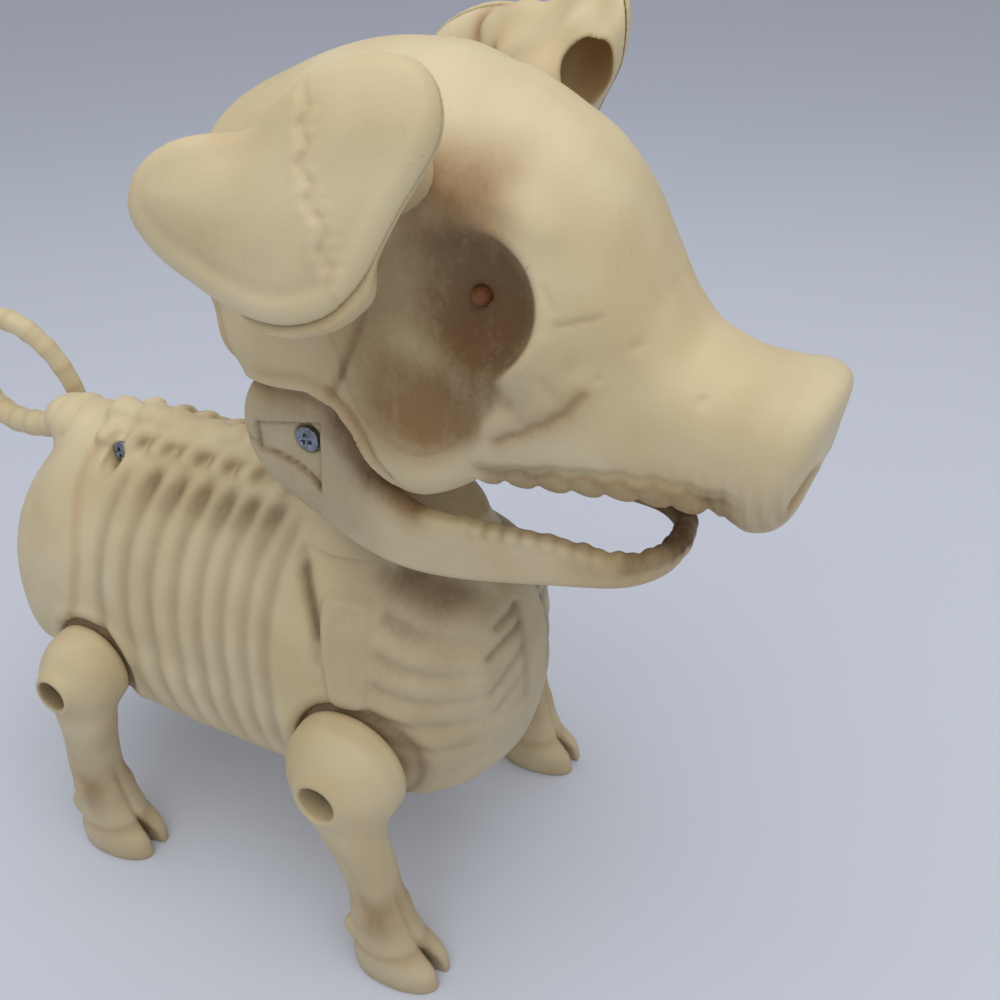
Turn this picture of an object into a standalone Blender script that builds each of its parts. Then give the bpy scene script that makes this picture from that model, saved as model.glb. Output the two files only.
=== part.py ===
"""Poseable pig skeleton figure, moulded plastic, about 250 mm long.

Frame: metres, +Z up, the pig faces -Y, its left side is +X. The origin is on
the floor under the middle of the figure. Helper lengths below are millimetres:
x to the pig's left, s forward, z up.
"""

import math

import bmesh
import bpy
import numpy as np
from mathutils import Matrix, Vector

# ---------------------------------------------------------------- dimensions
MM = 0.001
ORIGIN_S = 4.71           # middle of the figure's length
GAP = 0.15                # half the gap between a left and a right half
WALL = 2.2                # moulded wall of the shells

NECK_S = 24.0             # neck post axis
NECK_R = 9.0
BASE_Z = 150.5            # underside of the skull's floor plate
BASE_T = 3.0

JAW_S, JAW_Z = 24.0, 143.4     # jaw hinge
JAW_DISC_R = 17.0
JAW_OUT, JAW_IN = 26.2, 21.5   # faces of the jaw's hinge disc

EYE_S, EYE_Z = 68.2, 182.4
EYE_X, EYE_R = 35.0, 15.0      # socket sphere
LED_R = 1.9
LED_S, LED_Z = 64.0, 180.7

LEG_FRONT_S, LEG_FRONT_Z = 34.4, 62.0
LEG_REAR_S, LEG_REAR_Z = -48.5, 62.5
LEG_FACE = 36.0                # inner face of a leg's round head
LEG_APEX = 53.0
LEG_HEAD_R = {"front": 15.5, "rear": 11.8}
SEAT_X = 35.6                  # flat seat on the body's side
SHANK_X, FOOT_X = 44.0, 42.0     # a leg's middle at its head and at the floor

EAR_O = (49.8, 45.5, 204.8)    # middle of the ear's parting plane, right ear mirrored
EAR_ROOT = (24.7, 52.0, 203.0)  # on the skull, right ear mirrored
EAR_AXIS = (0.91, 0.20, 0.36)   # out of the skull along the ear's peg
EAR_TURN = {-1: 0.0, 1: 10.0}   # degrees each ear is turned up at its back

TAIL_S, TAIL_Z, TAIL_RING = -101.0, 122.0, 15.5
TAIL_R = 3.8

SCREW_R, SCREW_HEAD_R, SCREW_HEAD_H = 1.5, 3.0, 2.2

# stations of the skull: s, top, bottom, half width, height of the widest point
SKULL = [
    (-9.0, 190, 178, 9.0, 184),
    (-5.5, 199, 168.5, 18.0, 183),
    (2.0, 206.5, 159, 25.5, 181),
    (11.0, 211.5, 146, 29.5, 178),
    (21.0, 216, 138, 31.0, 177),
    (32.0, 219.5, 138, 31.6, 175),
    (43.0, 221, 138, 32.0, 172),
    (52.0, 220, 137.5, 32.2, 167),
    (60.0, 217.5, 139.5, 31.5, 164),
    (70.0, 213, 141.5, 29.5, 163),
    (79.0, 208, 142, 26.0, 162),
    (86.0, 200.5, 142, 23.0, 160),
    (91.0, 191, 142, 21.0, 159),
    (96.0, 180.5, 142, 19.5, 158),
    (103.0, 172.5, 141, 18.0, 157),
    (110.0, 170, 136.5, 17.5, 154),
    (115.0, 170.6, 132.2, 18.0, 152),
]
SNOUT_END = [(121.0, 172.0, 132.6, 18.5, 152), (124.6, 170.0, 136.2, 17.6, 152), (126.4, 165.5, 140.5, 14.5, 152)]
SNOUT_TILT = 0.22

# lower rim of the open back of the skull, (s, z)
RIM = [(4.5, 157.0), (9.0, 155.7), (33.0, 155.7), (41.5, 145.0), (48.5, 138.5), (53.0, 136.5)]

# stations of the body, same columns
BODY = [
    (-89.0, 88, 66, 13, 76),
    (-85.5, 100, 57, 24, 78),
    (-78.0, 109.5, 52, 31, 79),
    (-66.0, 115.5, 47, 35, 78),
    (-50.0, 118.5, 42.5, 36.6, 75),
    (-34.0, 119.5, 38.5, 37, 72),
    (-12.0, 119.5, 38, 37, 70),
    (10.0, 118, 38, 37, 70),
    (28.0, 116.5, 38, 37, 70),
    (42.0, 113, 38.5, 35.5, 72),
    (53.0, 108, 42.5, 29, 76),
    (61.0, 102, 50, 20, 78),
    (66.0, 96, 64, 9, 81),
]

# ear outline in its own plane: u forward, v up
EAR = [
    (-30, -2.5), (-25.5, -10.5), (-13, -17), (-1, -21), (8.5, -21.5), (13, -15), (17.5, -6), (21, 3.5),
    (24, 12), (22.5, 18.5), (16, 23), (7.5, 23.5), (-1, 19.5), (-9, 11), (-20, 6), (-27, 1.5),
]

BONE = (0.72, 0.62, 0.40)
BONE_DARK = (0.42, 0.31, 0.18)
STEEL = (0.55, 0.57, 0.60)

# ------------------------------------------------------------------- helpers
for old in list(bpy.data.objects):
    bpy.data.objects.remove(old, do_unlink=True)


def collection(name):
    made = bpy.data.collections.new(name)
    bpy.context.scene.collection.children.link(made)
    return made


FIGURE = collection("pig_skeleton_figure")
CUTTERS = collection("cutters")
CUTTERS.hide_render = True


def P(x, s, z):
    return Vector((x * MM, (ORIGIN_S - s) * MM, z * MM))


def material(name, colour, roughness=0.55, metallic=0.0):
    made = bpy.data.materials.new(name)
    made.use_nodes = True
    shader = made.node_tree.nodes["Principled BSDF"]
    shader.inputs["Base Color"].default_value = (*colour, 1.0)
    shader.inputs["Roughness"].default_value = roughness
    shader.inputs["Metallic"].default_value = metallic
    return made


def add(name, mesh, colour=None, roughness=0.55, metallic=0.0):
    """A part when it has a colour, otherwise a cutter."""
    obj = bpy.data.objects.new(name, mesh)
    if colour is None:
        CUTTERS.objects.link(obj)
        obj.hide_render = True
        obj.display_type = "WIRE"
    else:
        FIGURE.objects.link(obj)
        obj.data.materials.clear()
        obj.data.materials.append(material(name, colour, roughness, metallic))
    return obj


def finished(bm, name, angle=40):
    bmesh.ops.recalc_face_normals(bm, faces=bm.faces)
    mesh = bpy.data.meshes.new(name)
    bm.to_mesh(mesh)
    bm.free()
    mesh.shade_smooth()
    mesh.set_sharp_from_angle(angle=math.radians(angle))
    return mesh


def loft(name, rings):
    """A closed solid through rings of equal point count."""
    bm = bmesh.new()
    rows = [[bm.verts.new(p) for p in ring] for ring in rings]
    count = len(rings[0])
    for near, far in zip(rows, rows[1:]):
        for i in range(count):
            j = (i + 1) % count
            bm.faces.new((near[i], near[j], far[j], far[i]))
    bm.faces.new(rows[0])
    bm.faces.new(rows[-1])
    return finished(bm, name)


def section(s, top, bottom, half, mid, up=2.2, low=3.0, tilt=0.0, count=20):
    """A rounded cross-section; no point lies on the median plane."""
    ring = []
    for i in range(count):
        a = 2 * math.pi * (i + 0.5) / count
        c, d = math.cos(a), math.sin(a)
        n = up if d > 0 else low
        rise = (top - mid) if d > 0 else (mid - bottom)
        x = half * math.copysign(abs(c) ** (2 / n), c)
        z = mid + rise * math.copysign(abs(d) ** (2 / n), d)
        ring.append(P(x, s + tilt * (z - mid), z))
    return ring


def cylinder(name, start, end, radius, sides=16, end_radius=None):
    """A round bar between two points given as (x, s, z)."""
    a, b = P(*start), P(*end)
    bm = bmesh.new()
    bmesh.ops.create_cone(
        bm, cap_ends=True, cap_tris=False, segments=sides,
        radius1=radius * MM, radius2=(radius if end_radius is None else end_radius) * MM,
        depth=(b - a).length,
    )
    turn = (b - a).to_track_quat("Z", "Y").to_matrix().to_4x4()
    bmesh.ops.transform(bm, matrix=Matrix.Translation((a + b) / 2) @ turn, verts=bm.verts)
    return finished(bm, name)


def box(name, low, high):
    a, b = P(*low), P(*high)
    bm = bmesh.new()
    bmesh.ops.create_cube(bm, size=1.0)
    size = Vector((abs(b.x - a.x), abs(b.y - a.y), abs(b.z - a.z)))
    bmesh.ops.transform(
        bm, matrix=Matrix.Translation((a + b) / 2) @ Matrix.Diagonal((*size, 1.0)), verts=bm.verts
    )
    return finished(bm, name)


def ball(name, centre, radius, scale=(1, 1, 1), u=20, v=12):
    bm = bmesh.new()
    bmesh.ops.create_uvsphere(bm, u_segments=u, v_segments=v, radius=radius * MM)
    bmesh.ops.transform(
        bm, matrix=Matrix.Translation(P(*centre)) @ Matrix.Diagonal((*scale, 1.0)), verts=bm.verts
    )
    return finished(bm, name)


def prism(name, outline, x_low, x_high):
    """An (s, z) outline swept across the figure."""
    return loft(name, [[P(x, s, z) for s, z in outline] for x in (x_low, x_high)])


def boolean(obj, mesh, operation="DIFFERENCE"):
    cutter = mesh if isinstance(mesh, bpy.types.Object) else add(mesh.name + "_cut", mesh)
    step = obj.modifiers.new(cutter.name[:40], "BOOLEAN")
    step.operation = operation
    step.object = cutter
    return obj


def turned(name, profile, place, direction, steps=20):
    """A profile of (radius, along) from top to bottom, turned about its own Z."""
    mesh = bpy.data.meshes.new(name)
    mesh.from_pydata([(r * MM, 0, h * MM) for r, h in profile], [(i, i + 1) for i in range(len(profile) - 1)], [])
    made = bpy.data.objects.new(name, mesh)
    screw = made.modifiers.new("turn", "SCREW")
    screw.steps = screw.render_steps = steps
    screw.use_merge_vertices = True
    screw.merge_threshold = 0.00001
    screw.use_smooth_shade = True
    made.location = P(*place)
    made.rotation_euler = Vector(direction).to_track_quat("Z", "Y").to_euler()
    FIGURE.objects.link(made)
    return made


def paint(obj, colour, roughness=0.55, metallic=0.0):
    obj.data.materials.clear()
    obj.data.materials.append(material(obj.name, colour, roughness, metallic))
    return obj


def smooth_path(points, per_span=4):
    """Points on a smooth curve through the given ones."""
    p = [np.array(q, float) for q in points]
    p = [2 * p[0] - p[1]] + p + [2 * p[-1] - p[-2]]
    out = []
    for i in range(1, len(p) - 2):
        for k in range(per_span):
            t = k / per_span
            out.append(0.5 * (2 * p[i] + (p[i + 1] - p[i - 1]) * t
                              + (2 * p[i - 1] - 5 * p[i] + 4 * p[i + 1] - p[i + 2]) * t * t
                              + (3 * p[i] - p[i - 1] - 3 * p[i + 1] + p[i + 2]) * t ** 3))
    out.append(p[-2])
    return out


def tube(name, points, radius, radii=None, resolution=2):
    """A round rod along (x, s, z) points, as a curve with filled caps."""
    data = bpy.data.curves.new(name, "CURVE")
    data.dimensions = "3D"
    data.bevel_depth = radius * MM
    data.bevel_resolution = resolution
    data.use_fill_caps = True
    line = data.splines.new("POLY")
    line.points.add(len(points) - 1)
    for i, (point, place) in enumerate(zip(line.points, points)):
        point.co = (*P(*place), 1.0)
        point.radius = 1.0 if radii is None else radii[i]
    made = bpy.data.objects.new(name, data)
    FIGURE.objects.link(made)
    return made


def solid_tube(name, points, radius):
    """The same rod as a closed mesh, for cutting."""
    made = tube(name, points, radius)
    bpy.context.view_layer.update()
    graph = bpy.context.evaluated_depsgraph_get()
    mesh = bpy.data.meshes.new_from_object(made.evaluated_get(graph))
    mesh.name = name
    bm = bmesh.new()
    bm.from_mesh(mesh)
    bmesh.ops.remove_doubles(bm, verts=bm.verts, dist=1e-6)
    bmesh.ops.recalc_face_normals(bm, faces=bm.faces)
    bm.to_mesh(mesh)
    bm.free()
    bpy.data.objects.remove(made, do_unlink=True)
    return mesh


def pivot(name, place):
    made = bpy.data.objects.new(name, None)
    made.empty_display_size = 0.01
    made.location = P(*place)
    FIGURE.objects.link(made)
    return made


def hang(piece, parent):
    """Parents a piece to its pivot without moving it."""
    bpy.context.view_layer.update()
    piece.parent = parent
    piece.matrix_parent_inverse = parent.matrix_world.inverted()
    return piece


HALF = {
    -1: add("right_half", box("right_half", (-90, -160, -20), (-GAP, 170, 260))),
    1: add("left_half", box("left_half", (GAP, -160, -20), (90, 170, 260))),
}
SIDE = {-1: "right", 1: "left"}

SCREW_PROFILE = [
    (0.0, SCREW_HEAD_H), (SCREW_HEAD_R * 0.72, SCREW_HEAD_H * 0.82), (SCREW_HEAD_R, SCREW_HEAD_H * 0.35),
    (SCREW_HEAD_R, 0.0), (SCREW_R, 0.0),
]


def screw(name, place, direction, length):
    """A pan head screw; its head's seat is at place and the head points along direction."""
    profile = SCREW_PROFILE + [(SCREW_R, -length + 1.2), (0.3, -length), (0.0, -length)]
    made = paint(turned(name, profile, place, direction, steps=10), STEEL, 0.3, 1.0)
    # cross recess in the head
    for k in (0, 1):
        bm = bmesh.new()
        bmesh.ops.create_cube(bm, size=1.0)
        size = (3.4, 0.8, 2.0) if k == 0 else (0.8, 3.4, 2.0)
        spot = Matrix.Translation((0, 0, (SCREW_HEAD_H - 0.1) * MM))
        bmesh.ops.transform(bm, matrix=spot @ Matrix.Diagonal((*[v * MM for v in size], 1.0)), verts=bm.verts)
        slot = add(f"{name}_slot_{k}", finished(bm, f"{name}_slot_{k}"))
        slot.location = made.location
        slot.rotation_euler = made.rotation_euler
        boolean(made, slot)
    return made


# ---------------------------------------------------------------------- head
HEAD_TURN = pivot("head_turn_axis", (0, NECK_S, 120))
JAW_HINGE = hang(pivot("jaw_hinge_axis", (0, JAW_S, JAW_Z)), HEAD_TURN)


def skull_rings(inset=0.0):
    rings = [section(s, t - inset, b + inset * (0 if 8 < s < 50 else 1.4), w - inset, m, 2.15, 6.0 if s < 56 else 3.2) for s, t, b, w, m in SKULL]
    rings += [section(s, t - inset, b + inset, w - inset, m, 2.4, 2.6, SNOUT_TILT) for s, t, b, w, m in SNOUT_END]
    return rings


skull_outer = loft("skull_outer", skull_rings())
inner_rings = skull_rings(WALL)[1:-3]
cavity = add("skull_cavity", loft("skull_cavity", inner_rings))
for side in (-1, 1):
    boolean(cavity, ball(f"socket_wall_{SIDE[side]}", (side * EYE_X, EYE_S, EYE_Z), EYE_R + WALL))
rim_cut = add("skull_rim", prism("skull_rim", RIM + [(53.0, 100), (4.5, 100)], -60, 60))
sockets = {k: add(f"socket_{SIDE[k]}", ball(f"socket_{SIDE[k]}", (k * EYE_X, EYE_S, EYE_Z), EYE_R)) for k in (-1, 1)}
nostrils = {
    k: add(f"nostril_{SIDE[k]}", cylinder(f"nostril_{SIDE[k]}", (k * 6.5, 138, 150), (k * 6.5, 122.6, 150), 3.4, 12))
    for k in (-1, 1)
}


def on_peg(side, along):
    """A point on the ear's peg axis, measured out from the skull."""
    length = math.sqrt(sum(v * v for v in EAR_AXIS))
    x, s, z = (r + v / length * along for r, v in zip(EAR_ROOT, EAR_AXIS))
    return (side * x, s, z)


ear_holes = {
    k: add(f"ear_hole_{SIDE[k]}", cylinder(f"ear_hole_{SIDE[k]}", on_peg(k, -12), on_peg(k, 8), 2.9, 14)) for k in (-1, 1)
}
led_holes = {
    k: add(f"led_hole_{SIDE[k]}", cylinder(f"led_hole_{SIDE[k]}", (k * 12, LED_S, LED_Z), (k * 30, LED_S, LED_Z), LED_R + 0.3, 14))
    for k in (-1, 1)
}
for side in (-1, 1):
    shell = add(f"skull_{SIDE[side]}_shell", skull_outer.copy(), BONE)
    for cutter in (cavity, rim_cut, sockets[side], nostrils[side], ear_holes[side], led_holes[side]):
        boolean(shell, cutter)
    boolean(shell, HALF[side], "INTERSECT")
    hang(shell, HEAD_TURN)

# floor of the skull: carries the neck and the jaw's two screw bosses
base = add("skull_base", box("skull_base", (-20.5, 7, BASE_Z), (20.5, 62, BASE_Z + BASE_T)), BONE)
boolean(base, box("base_foot", (-17, 52, 145.6), (17, 60, BASE_Z + 1)), "UNION")
for side in (-1, 1):
    boolean(base, box(f"jaw_tab_{SIDE[side]}", (side * 17, 17, 137), (side * 21, 36, BASE_Z + 1)), "UNION")
    boolean(base, cylinder(f"jaw_boss_{SIDE[side]}", (side * 11.5, JAW_S, JAW_Z), (side * 18, JAW_S, JAW_Z), 4.2, 14), "UNION")
for side in (-1, 1):
    boolean(base, cylinder(f"jaw_bore_{SIDE[side]}", (side * 9, JAW_S, JAW_Z), (side * 40, JAW_S, JAW_Z), SCREW_R + 0.3, 14))
boolean(base, cylinder("base_neck_hole", (0, NECK_S, 140), (0, NECK_S, 160), 6.4, 20))
hang(base, HEAD_TURN)

# --------------------------------------------------------------------- eyes
for side in (-1, 1):
    tip = 22.4
    led = turned(
        f"eye_led_{SIDE[side]}",
        [(0.0, 1.9), (1.0, 1.62), (1.65, 0.95), (LED_R, 0.0), (LED_R, -4.6), (2.6, -4.6), (2.6, -5.8), (0.0, -5.8)],
        (side * (tip - 1.9), LED_S, LED_Z), (side, 0, 0), 10,
    )
    hang(paint(led, (0.28, 0.09, 0.03), 0.15), HEAD_TURN)

# ---------------------------------------------------------------------- jaw
# right arm from the hinge to the chin: x, s, top, bottom, thickness
JAW_ARM = [
    (-24.0, 14.0, 152, 138, 5.0),
    (-24.0, 24.0, 150, 127.5, 5.0),
    (-24.4, 36.0, 143, 120, 5.2),
    (-24.8, 47.0, 134, 117.5, 5.4),
    (-23.6, 58.0, 132, 117, 5.4),
    (-21.6, 69.0, 132, 117.5, 5.2),
    (-19.0, 80.0, 132, 119, 5.0),
    (-15.8, 90.0, 132, 121.5, 4.8),
    (-11.6, 96.4, 132, 123.5, 4.6),
    (-6.2, 100.8, 132, 124, 4.6),
]
arm = JAW_ARM + [(0.0, 102.2, 132, 124, 4.6)]
arm += [(-x, s, t, b, w) for x, s, t, b, w in reversed(JAW_ARM)]
jaw_rings = []
for i, (x, s, top, low, wide) in enumerate(arm):
    ahead, behind = arm[min(i + 1, len(arm) - 1)], arm[max(i - 1, 0)]
    along = Vector((ahead[0] - behind[0], ahead[1] - behind[1]))
    across = Vector((along.y, -along.x)).normalized() * wide / 2
    chamfer = 0.25 * wide
    ring = []
    for side, z in ((-1, top - chamfer), (-0.55, top), (0.55, top), (1, top - chamfer),
                    (1, low + chamfer), (0.5, low), (-0.5, low), (-1, low + chamfer)):
        ring.append(P(x + across.x * side, s + across.y * side, z))
    jaw_rings.append(ring)
jaw = add("jaw", loft("jaw", jaw_rings), BONE)
for side in (-1, 1):
    boolean(jaw, cylinder(f"jaw_disc_{SIDE[side]}", (side * JAW_IN, JAW_S, JAW_Z), (side * JAW_OUT, JAW_S, JAW_Z), JAW_DISC_R, 24), "UNION")
for side in (-1, 1):
    boolean(jaw, cylinder(f"jaw_hole_{SIDE[side]}", (side * 18, JAW_S, JAW_Z), (side * 34, JAW_S, JAW_Z), SCREW_R + 0.25, 16))
    boolean(jaw, cylinder(f"jaw_pocket_{SIDE[side]}", (side * 25.2, JAW_S, JAW_Z), (side * 34, JAW_S, JAW_Z), 4.4, 6))
hang(jaw, JAW_HINGE)
for side in (-1, 1):
    hang(screw(f"jaw_screw_{SIDE[side]}", (side * 24.9, JAW_S, JAW_Z), (side, 0, 0), 12.0), HEAD_TURN)
    boolean(jaw, cylinder(f"jaw_seat_{SIDE[side]}", (side * 24.6, JAW_S, JAW_Z), (side * 34, JAW_S, JAW_Z), SCREW_HEAD_R + 0.5, 16))

# --------------------------------------------------------------------- ears
EAR_N = Vector((-0.96, 0.20, 0.20)).normalized()   # outward, right ear, as (x, s, z)
EAR_V = (Vector((0, 0, 1)) - EAR_N * EAR_N.z).normalized()   # up the sloping flap
EAR_U = EAR_N.cross(EAR_V)                            # forward along it


def ear_ring(side, out, scale, shift=(0.0, 0.0)):
    ring = []
    for u, v in EAR:
        u, v = u * scale + shift[0], v * scale + shift[1]
        x, s, z = Vector((-EAR_O[0], EAR_O[1], EAR_O[2])) + EAR_U * u + EAR_V * v + EAR_N * out
        ring.append(P(-side * x, s, z))
    return ring


def base_ring(side, along, radius):
    """The ear's round root, square to its peg, point for point with the outline."""
    axis = Vector(EAR_AXIS).normalized()
    up = (Vector((0, 0, 1)) - axis * axis.z).normalized()
    ahead = up.cross(axis) if up.cross(axis).y > 0 else axis.cross(up)
    ring = []
    for u, v in EAR:
        turn = math.atan2(v, u)
        x, s, z = Vector(EAR_ROOT) + axis * along + (ahead * math.cos(turn) + up * math.sin(turn)) * radius
        ring.append(P(side * x, s, z))
    return ring


def between(a, b, t):
    return [p.lerp(q, t) for p, q in zip(a, b)]


EAR_PIVOT = {}
for side in (-1, 1):
    EAR_PIVOT[side] = hang(pivot(f"ear_{SIDE[side]}_axis", on_peg(side, 0)), HEAD_TURN)
    outer = add(
        f"ear_{SIDE[side]}_outer",
        loft("ear_outer", [ear_ring(side, 0.15, 0.985), ear_ring(side, 1.4, 1.0), ear_ring(side, 3.2, 0.93), ear_ring(side, 4.4, 0.72), ear_ring(side, 4.8, 0.4)]),
        BONE,
    )
    rim, root = ear_ring(side, -3.0, 0.86, (2.0, 2.0)), base_ring(side, 1.2, 8.5)
    inner = add(
        f"ear_{SIDE[side]}_inner",
        loft("ear_inner", [ear_ring(side, -0.15, 0.95, (0.5, 0.5)), rim, between(rim, root, 0.4), between(rim, root, 0.8), root]),
        BONE,
    )
    # hollow under the fold, open to the front and below
    boolean(inner, ball(f"ear_hollow_{SIDE[side]}", (side * 41.5, 62.5, 205.0), 9.0, (0.55, 1.1, 1.0), 16, 10))
    # stem that plugs into the skull
    boolean(inner, cylinder(f"ear_stem_{SIDE[side]}", on_peg(side, -7.0), on_peg(side, 6.0), 2.5, 14), "UNION")
    hang(outer, EAR_PIVOT[side])
    hang(inner, EAR_PIVOT[side])
    peg = P(*on_peg(side, 1)) - P(*on_peg(side, 0))
    EAR_PIVOT[side].rotation_euler = Matrix.Rotation(math.radians(side * EAR_TURN[side]), 3, peg.normalized()).to_euler()

# --------------------------------------------------------------------- neck
neck = paint(turned(
    "neck_post",
    [(3.5, 158.5), (6.0, 158.0), (6.0, 155.7), (5.0, 155.7), (5.0, 153.8), (6.0, 153.8), (6.0, 150.1), (NECK_R, 150.1),
     (NECK_R, 112.4), (12.0, 112.4), (12.0, 109.4), (NECK_R, 109.4), (NECK_R, 104.0), (3.5, 104.0), (3.5, 158.5)],
    (0, NECK_S, 0), (0, 0, 1), 14), BONE)
clip = add("neck_clip", cylinder("neck_clip", (0, NECK_S, 154.0), (0, NECK_S, 155.4), 10.0, 20), STEEL, 0.35, 1.0)
boolean(clip, cylinder("clip_hole", (0, NECK_S, 150), (0, NECK_S, 160), 5.35, 20))
boolean(clip, box("clip_mouth", (-4.6, NECK_S - 20, 150), (4.6, NECK_S - 1, 160)))

# --------------------------------------------------------------------- body
BODY_SCREWS = {"rear": (-49.5, 114.0), "haunch": (-70.5, 56.5), "chest": (43.0, 47.0)}
SCREW_SEAT = {"rear": 9.6, "haunch": 7.6, "chest": 7.6}    # how far from the middle a body screw's head sits


def body_rings(inset=0.0):
    return [section(s, t - inset, b + inset, w - inset, m, 2.1, 2.8) for s, t, b, w, m in BODY]


body_outer = loft("body_outer", body_rings())
body_form = add("body_form", loft("body_form", body_rings(0.5)))
body_cavity = add("body_cavity", loft("body_cavity", [
    ring for ring in body_rings(WALL)[1:-1]
]))
LEGS = [("front", LEG_FRONT_S, LEG_FRONT_Z), ("rear", LEG_REAR_S, LEG_REAR_Z)]
TAIL_PATH = smooth_path(
    [(0, -64, 113.5), (0, -72, 112.6), (0, -81, 110.5), (0, -90, 107.6), (0, TAIL_S, TAIL_Z - TAIL_RING)]
    + [(0.25 * k, TAIL_S - TAIL_RING * math.sin(math.radians(30 * k)), TAIL_Z - TAIL_RING * math.cos(math.radians(30 * k))) for k in range(1, 6)]
    + [(2.2, TAIL_S, TAIL_Z + TAIL_RING), (3.6, TAIL_S + 8.6, TAIL_Z + 12.6), (6.0, TAIL_S + 14.6, TAIL_Z + 5.5), (8.6, TAIL_S + 17.6, TAIL_Z - 2.0)],
    2,
)
tail_bed = add("tail_bed", solid_tube("tail_bed", [(0, -62.5, 113.8)] + [tuple(p) for p in TAIL_PATH[1:9]], TAIL_R + 0.45))
# battery bay in the belly
BAY_X, BAY_S0, BAY_S1 = 17.5, -30.0, 26.0
bay = add("battery_bay", box("battery_bay", (-BAY_X - 0.4, BAY_S0 - 0.4, 20), (BAY_X + 0.4, BAY_S1 + 0.4, 60.5)))
switch_slot = add("switch_slot", box("switch_slot", (-2.2, -43.0, 30), (2.2, -35.0, 47)))
neck_hole = add("neck_hole", cylinder("neck_hole", (0, NECK_S, 112), (0, NECK_S, 130), NECK_R + 0.4, 20))
neck_pocket = add("neck_pocket", cylinder("neck_pocket", (0, NECK_S, 100), (0, NECK_S, 112.8), 12.4, 20))

for side in (-1, 1):
    shell = add(f"body_{SIDE[side]}_shell", body_outer.copy(), BONE)
    boolean(shell, body_cavity)
    for part, s, z in LEGS:
        boolean(shell, cylinder(f"leg_seat_{part}_{SIDE[side]}", (side * SEAT_X, s, z), (side * 60, s, z), LEG_HEAD_R[part] + 1.6, 22))
        boolean(shell, cylinder(f"leg_boss_{part}_{SIDE[side]}", (side * 20, s, z), (side * (SEAT_X - 0.4), s, z), 5.0, 16), "UNION")
    for part, (s, z) in BODY_SCREWS.items():
        reach = {"rear": 22.0, "haunch": 29.0, "chest": 28.0}[part]
        boss = add(f"body_boss_{part}_{SIDE[side]}", cylinder("body_boss", (side * 0.02, s, z), (side * reach, s, z), 5.4, 16))
        boolean(boss, body_form, "INTERSECT")
        boolean(shell, boss, "UNION")
    for part, s, z in LEGS:
        boolean(shell, cylinder(f"leg_bore_{part}_{SIDE[side]}", (side * 18, s, z), (side * 44, s, z), SCREW_R + 0.3, 14))
    for part, (s, z) in BODY_SCREWS.items():
        if side < 0:
            boolean(shell, cylinder(f"body_well_{part}", (-SCREW_SEAT[part], s, z), (-60, s, z), SCREW_HEAD_R + 0.6, 16))
            boolean(shell, cylinder(f"body_hole_{part}", (2, s, z), (-SCREW_SEAT[part] - 2.4, s, z), SCREW_R + 0.35, 14))
        else:
            boolean(shell, cylinder(f"body_bore_{part}", (-2, s, z), (12.5, s, z), SCREW_R + 0.3, 14))
    for cutter in (neck_pocket, neck_hole, tail_bed, bay, switch_slot):
        boolean(shell, cutter)
    boolean(shell, HALF[side], "INTERSECT")

for part, (s, z) in BODY_SCREWS.items():
    screw(f"body_screw_{part}", (-SCREW_SEAT[part] - 0.3, s, z), (-1, 0, 0), 17.0)

# --------------------------------------------------------------------- tail
taper = [1.0 - 0.34 * (i / (len(TAIL_PATH) - 1)) ** 2 for i in range(len(TAIL_PATH))]
tail = tube("tail", [tuple(p) for p in TAIL_PATH], TAIL_R, taper)
paint(tail, BONE)

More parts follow.
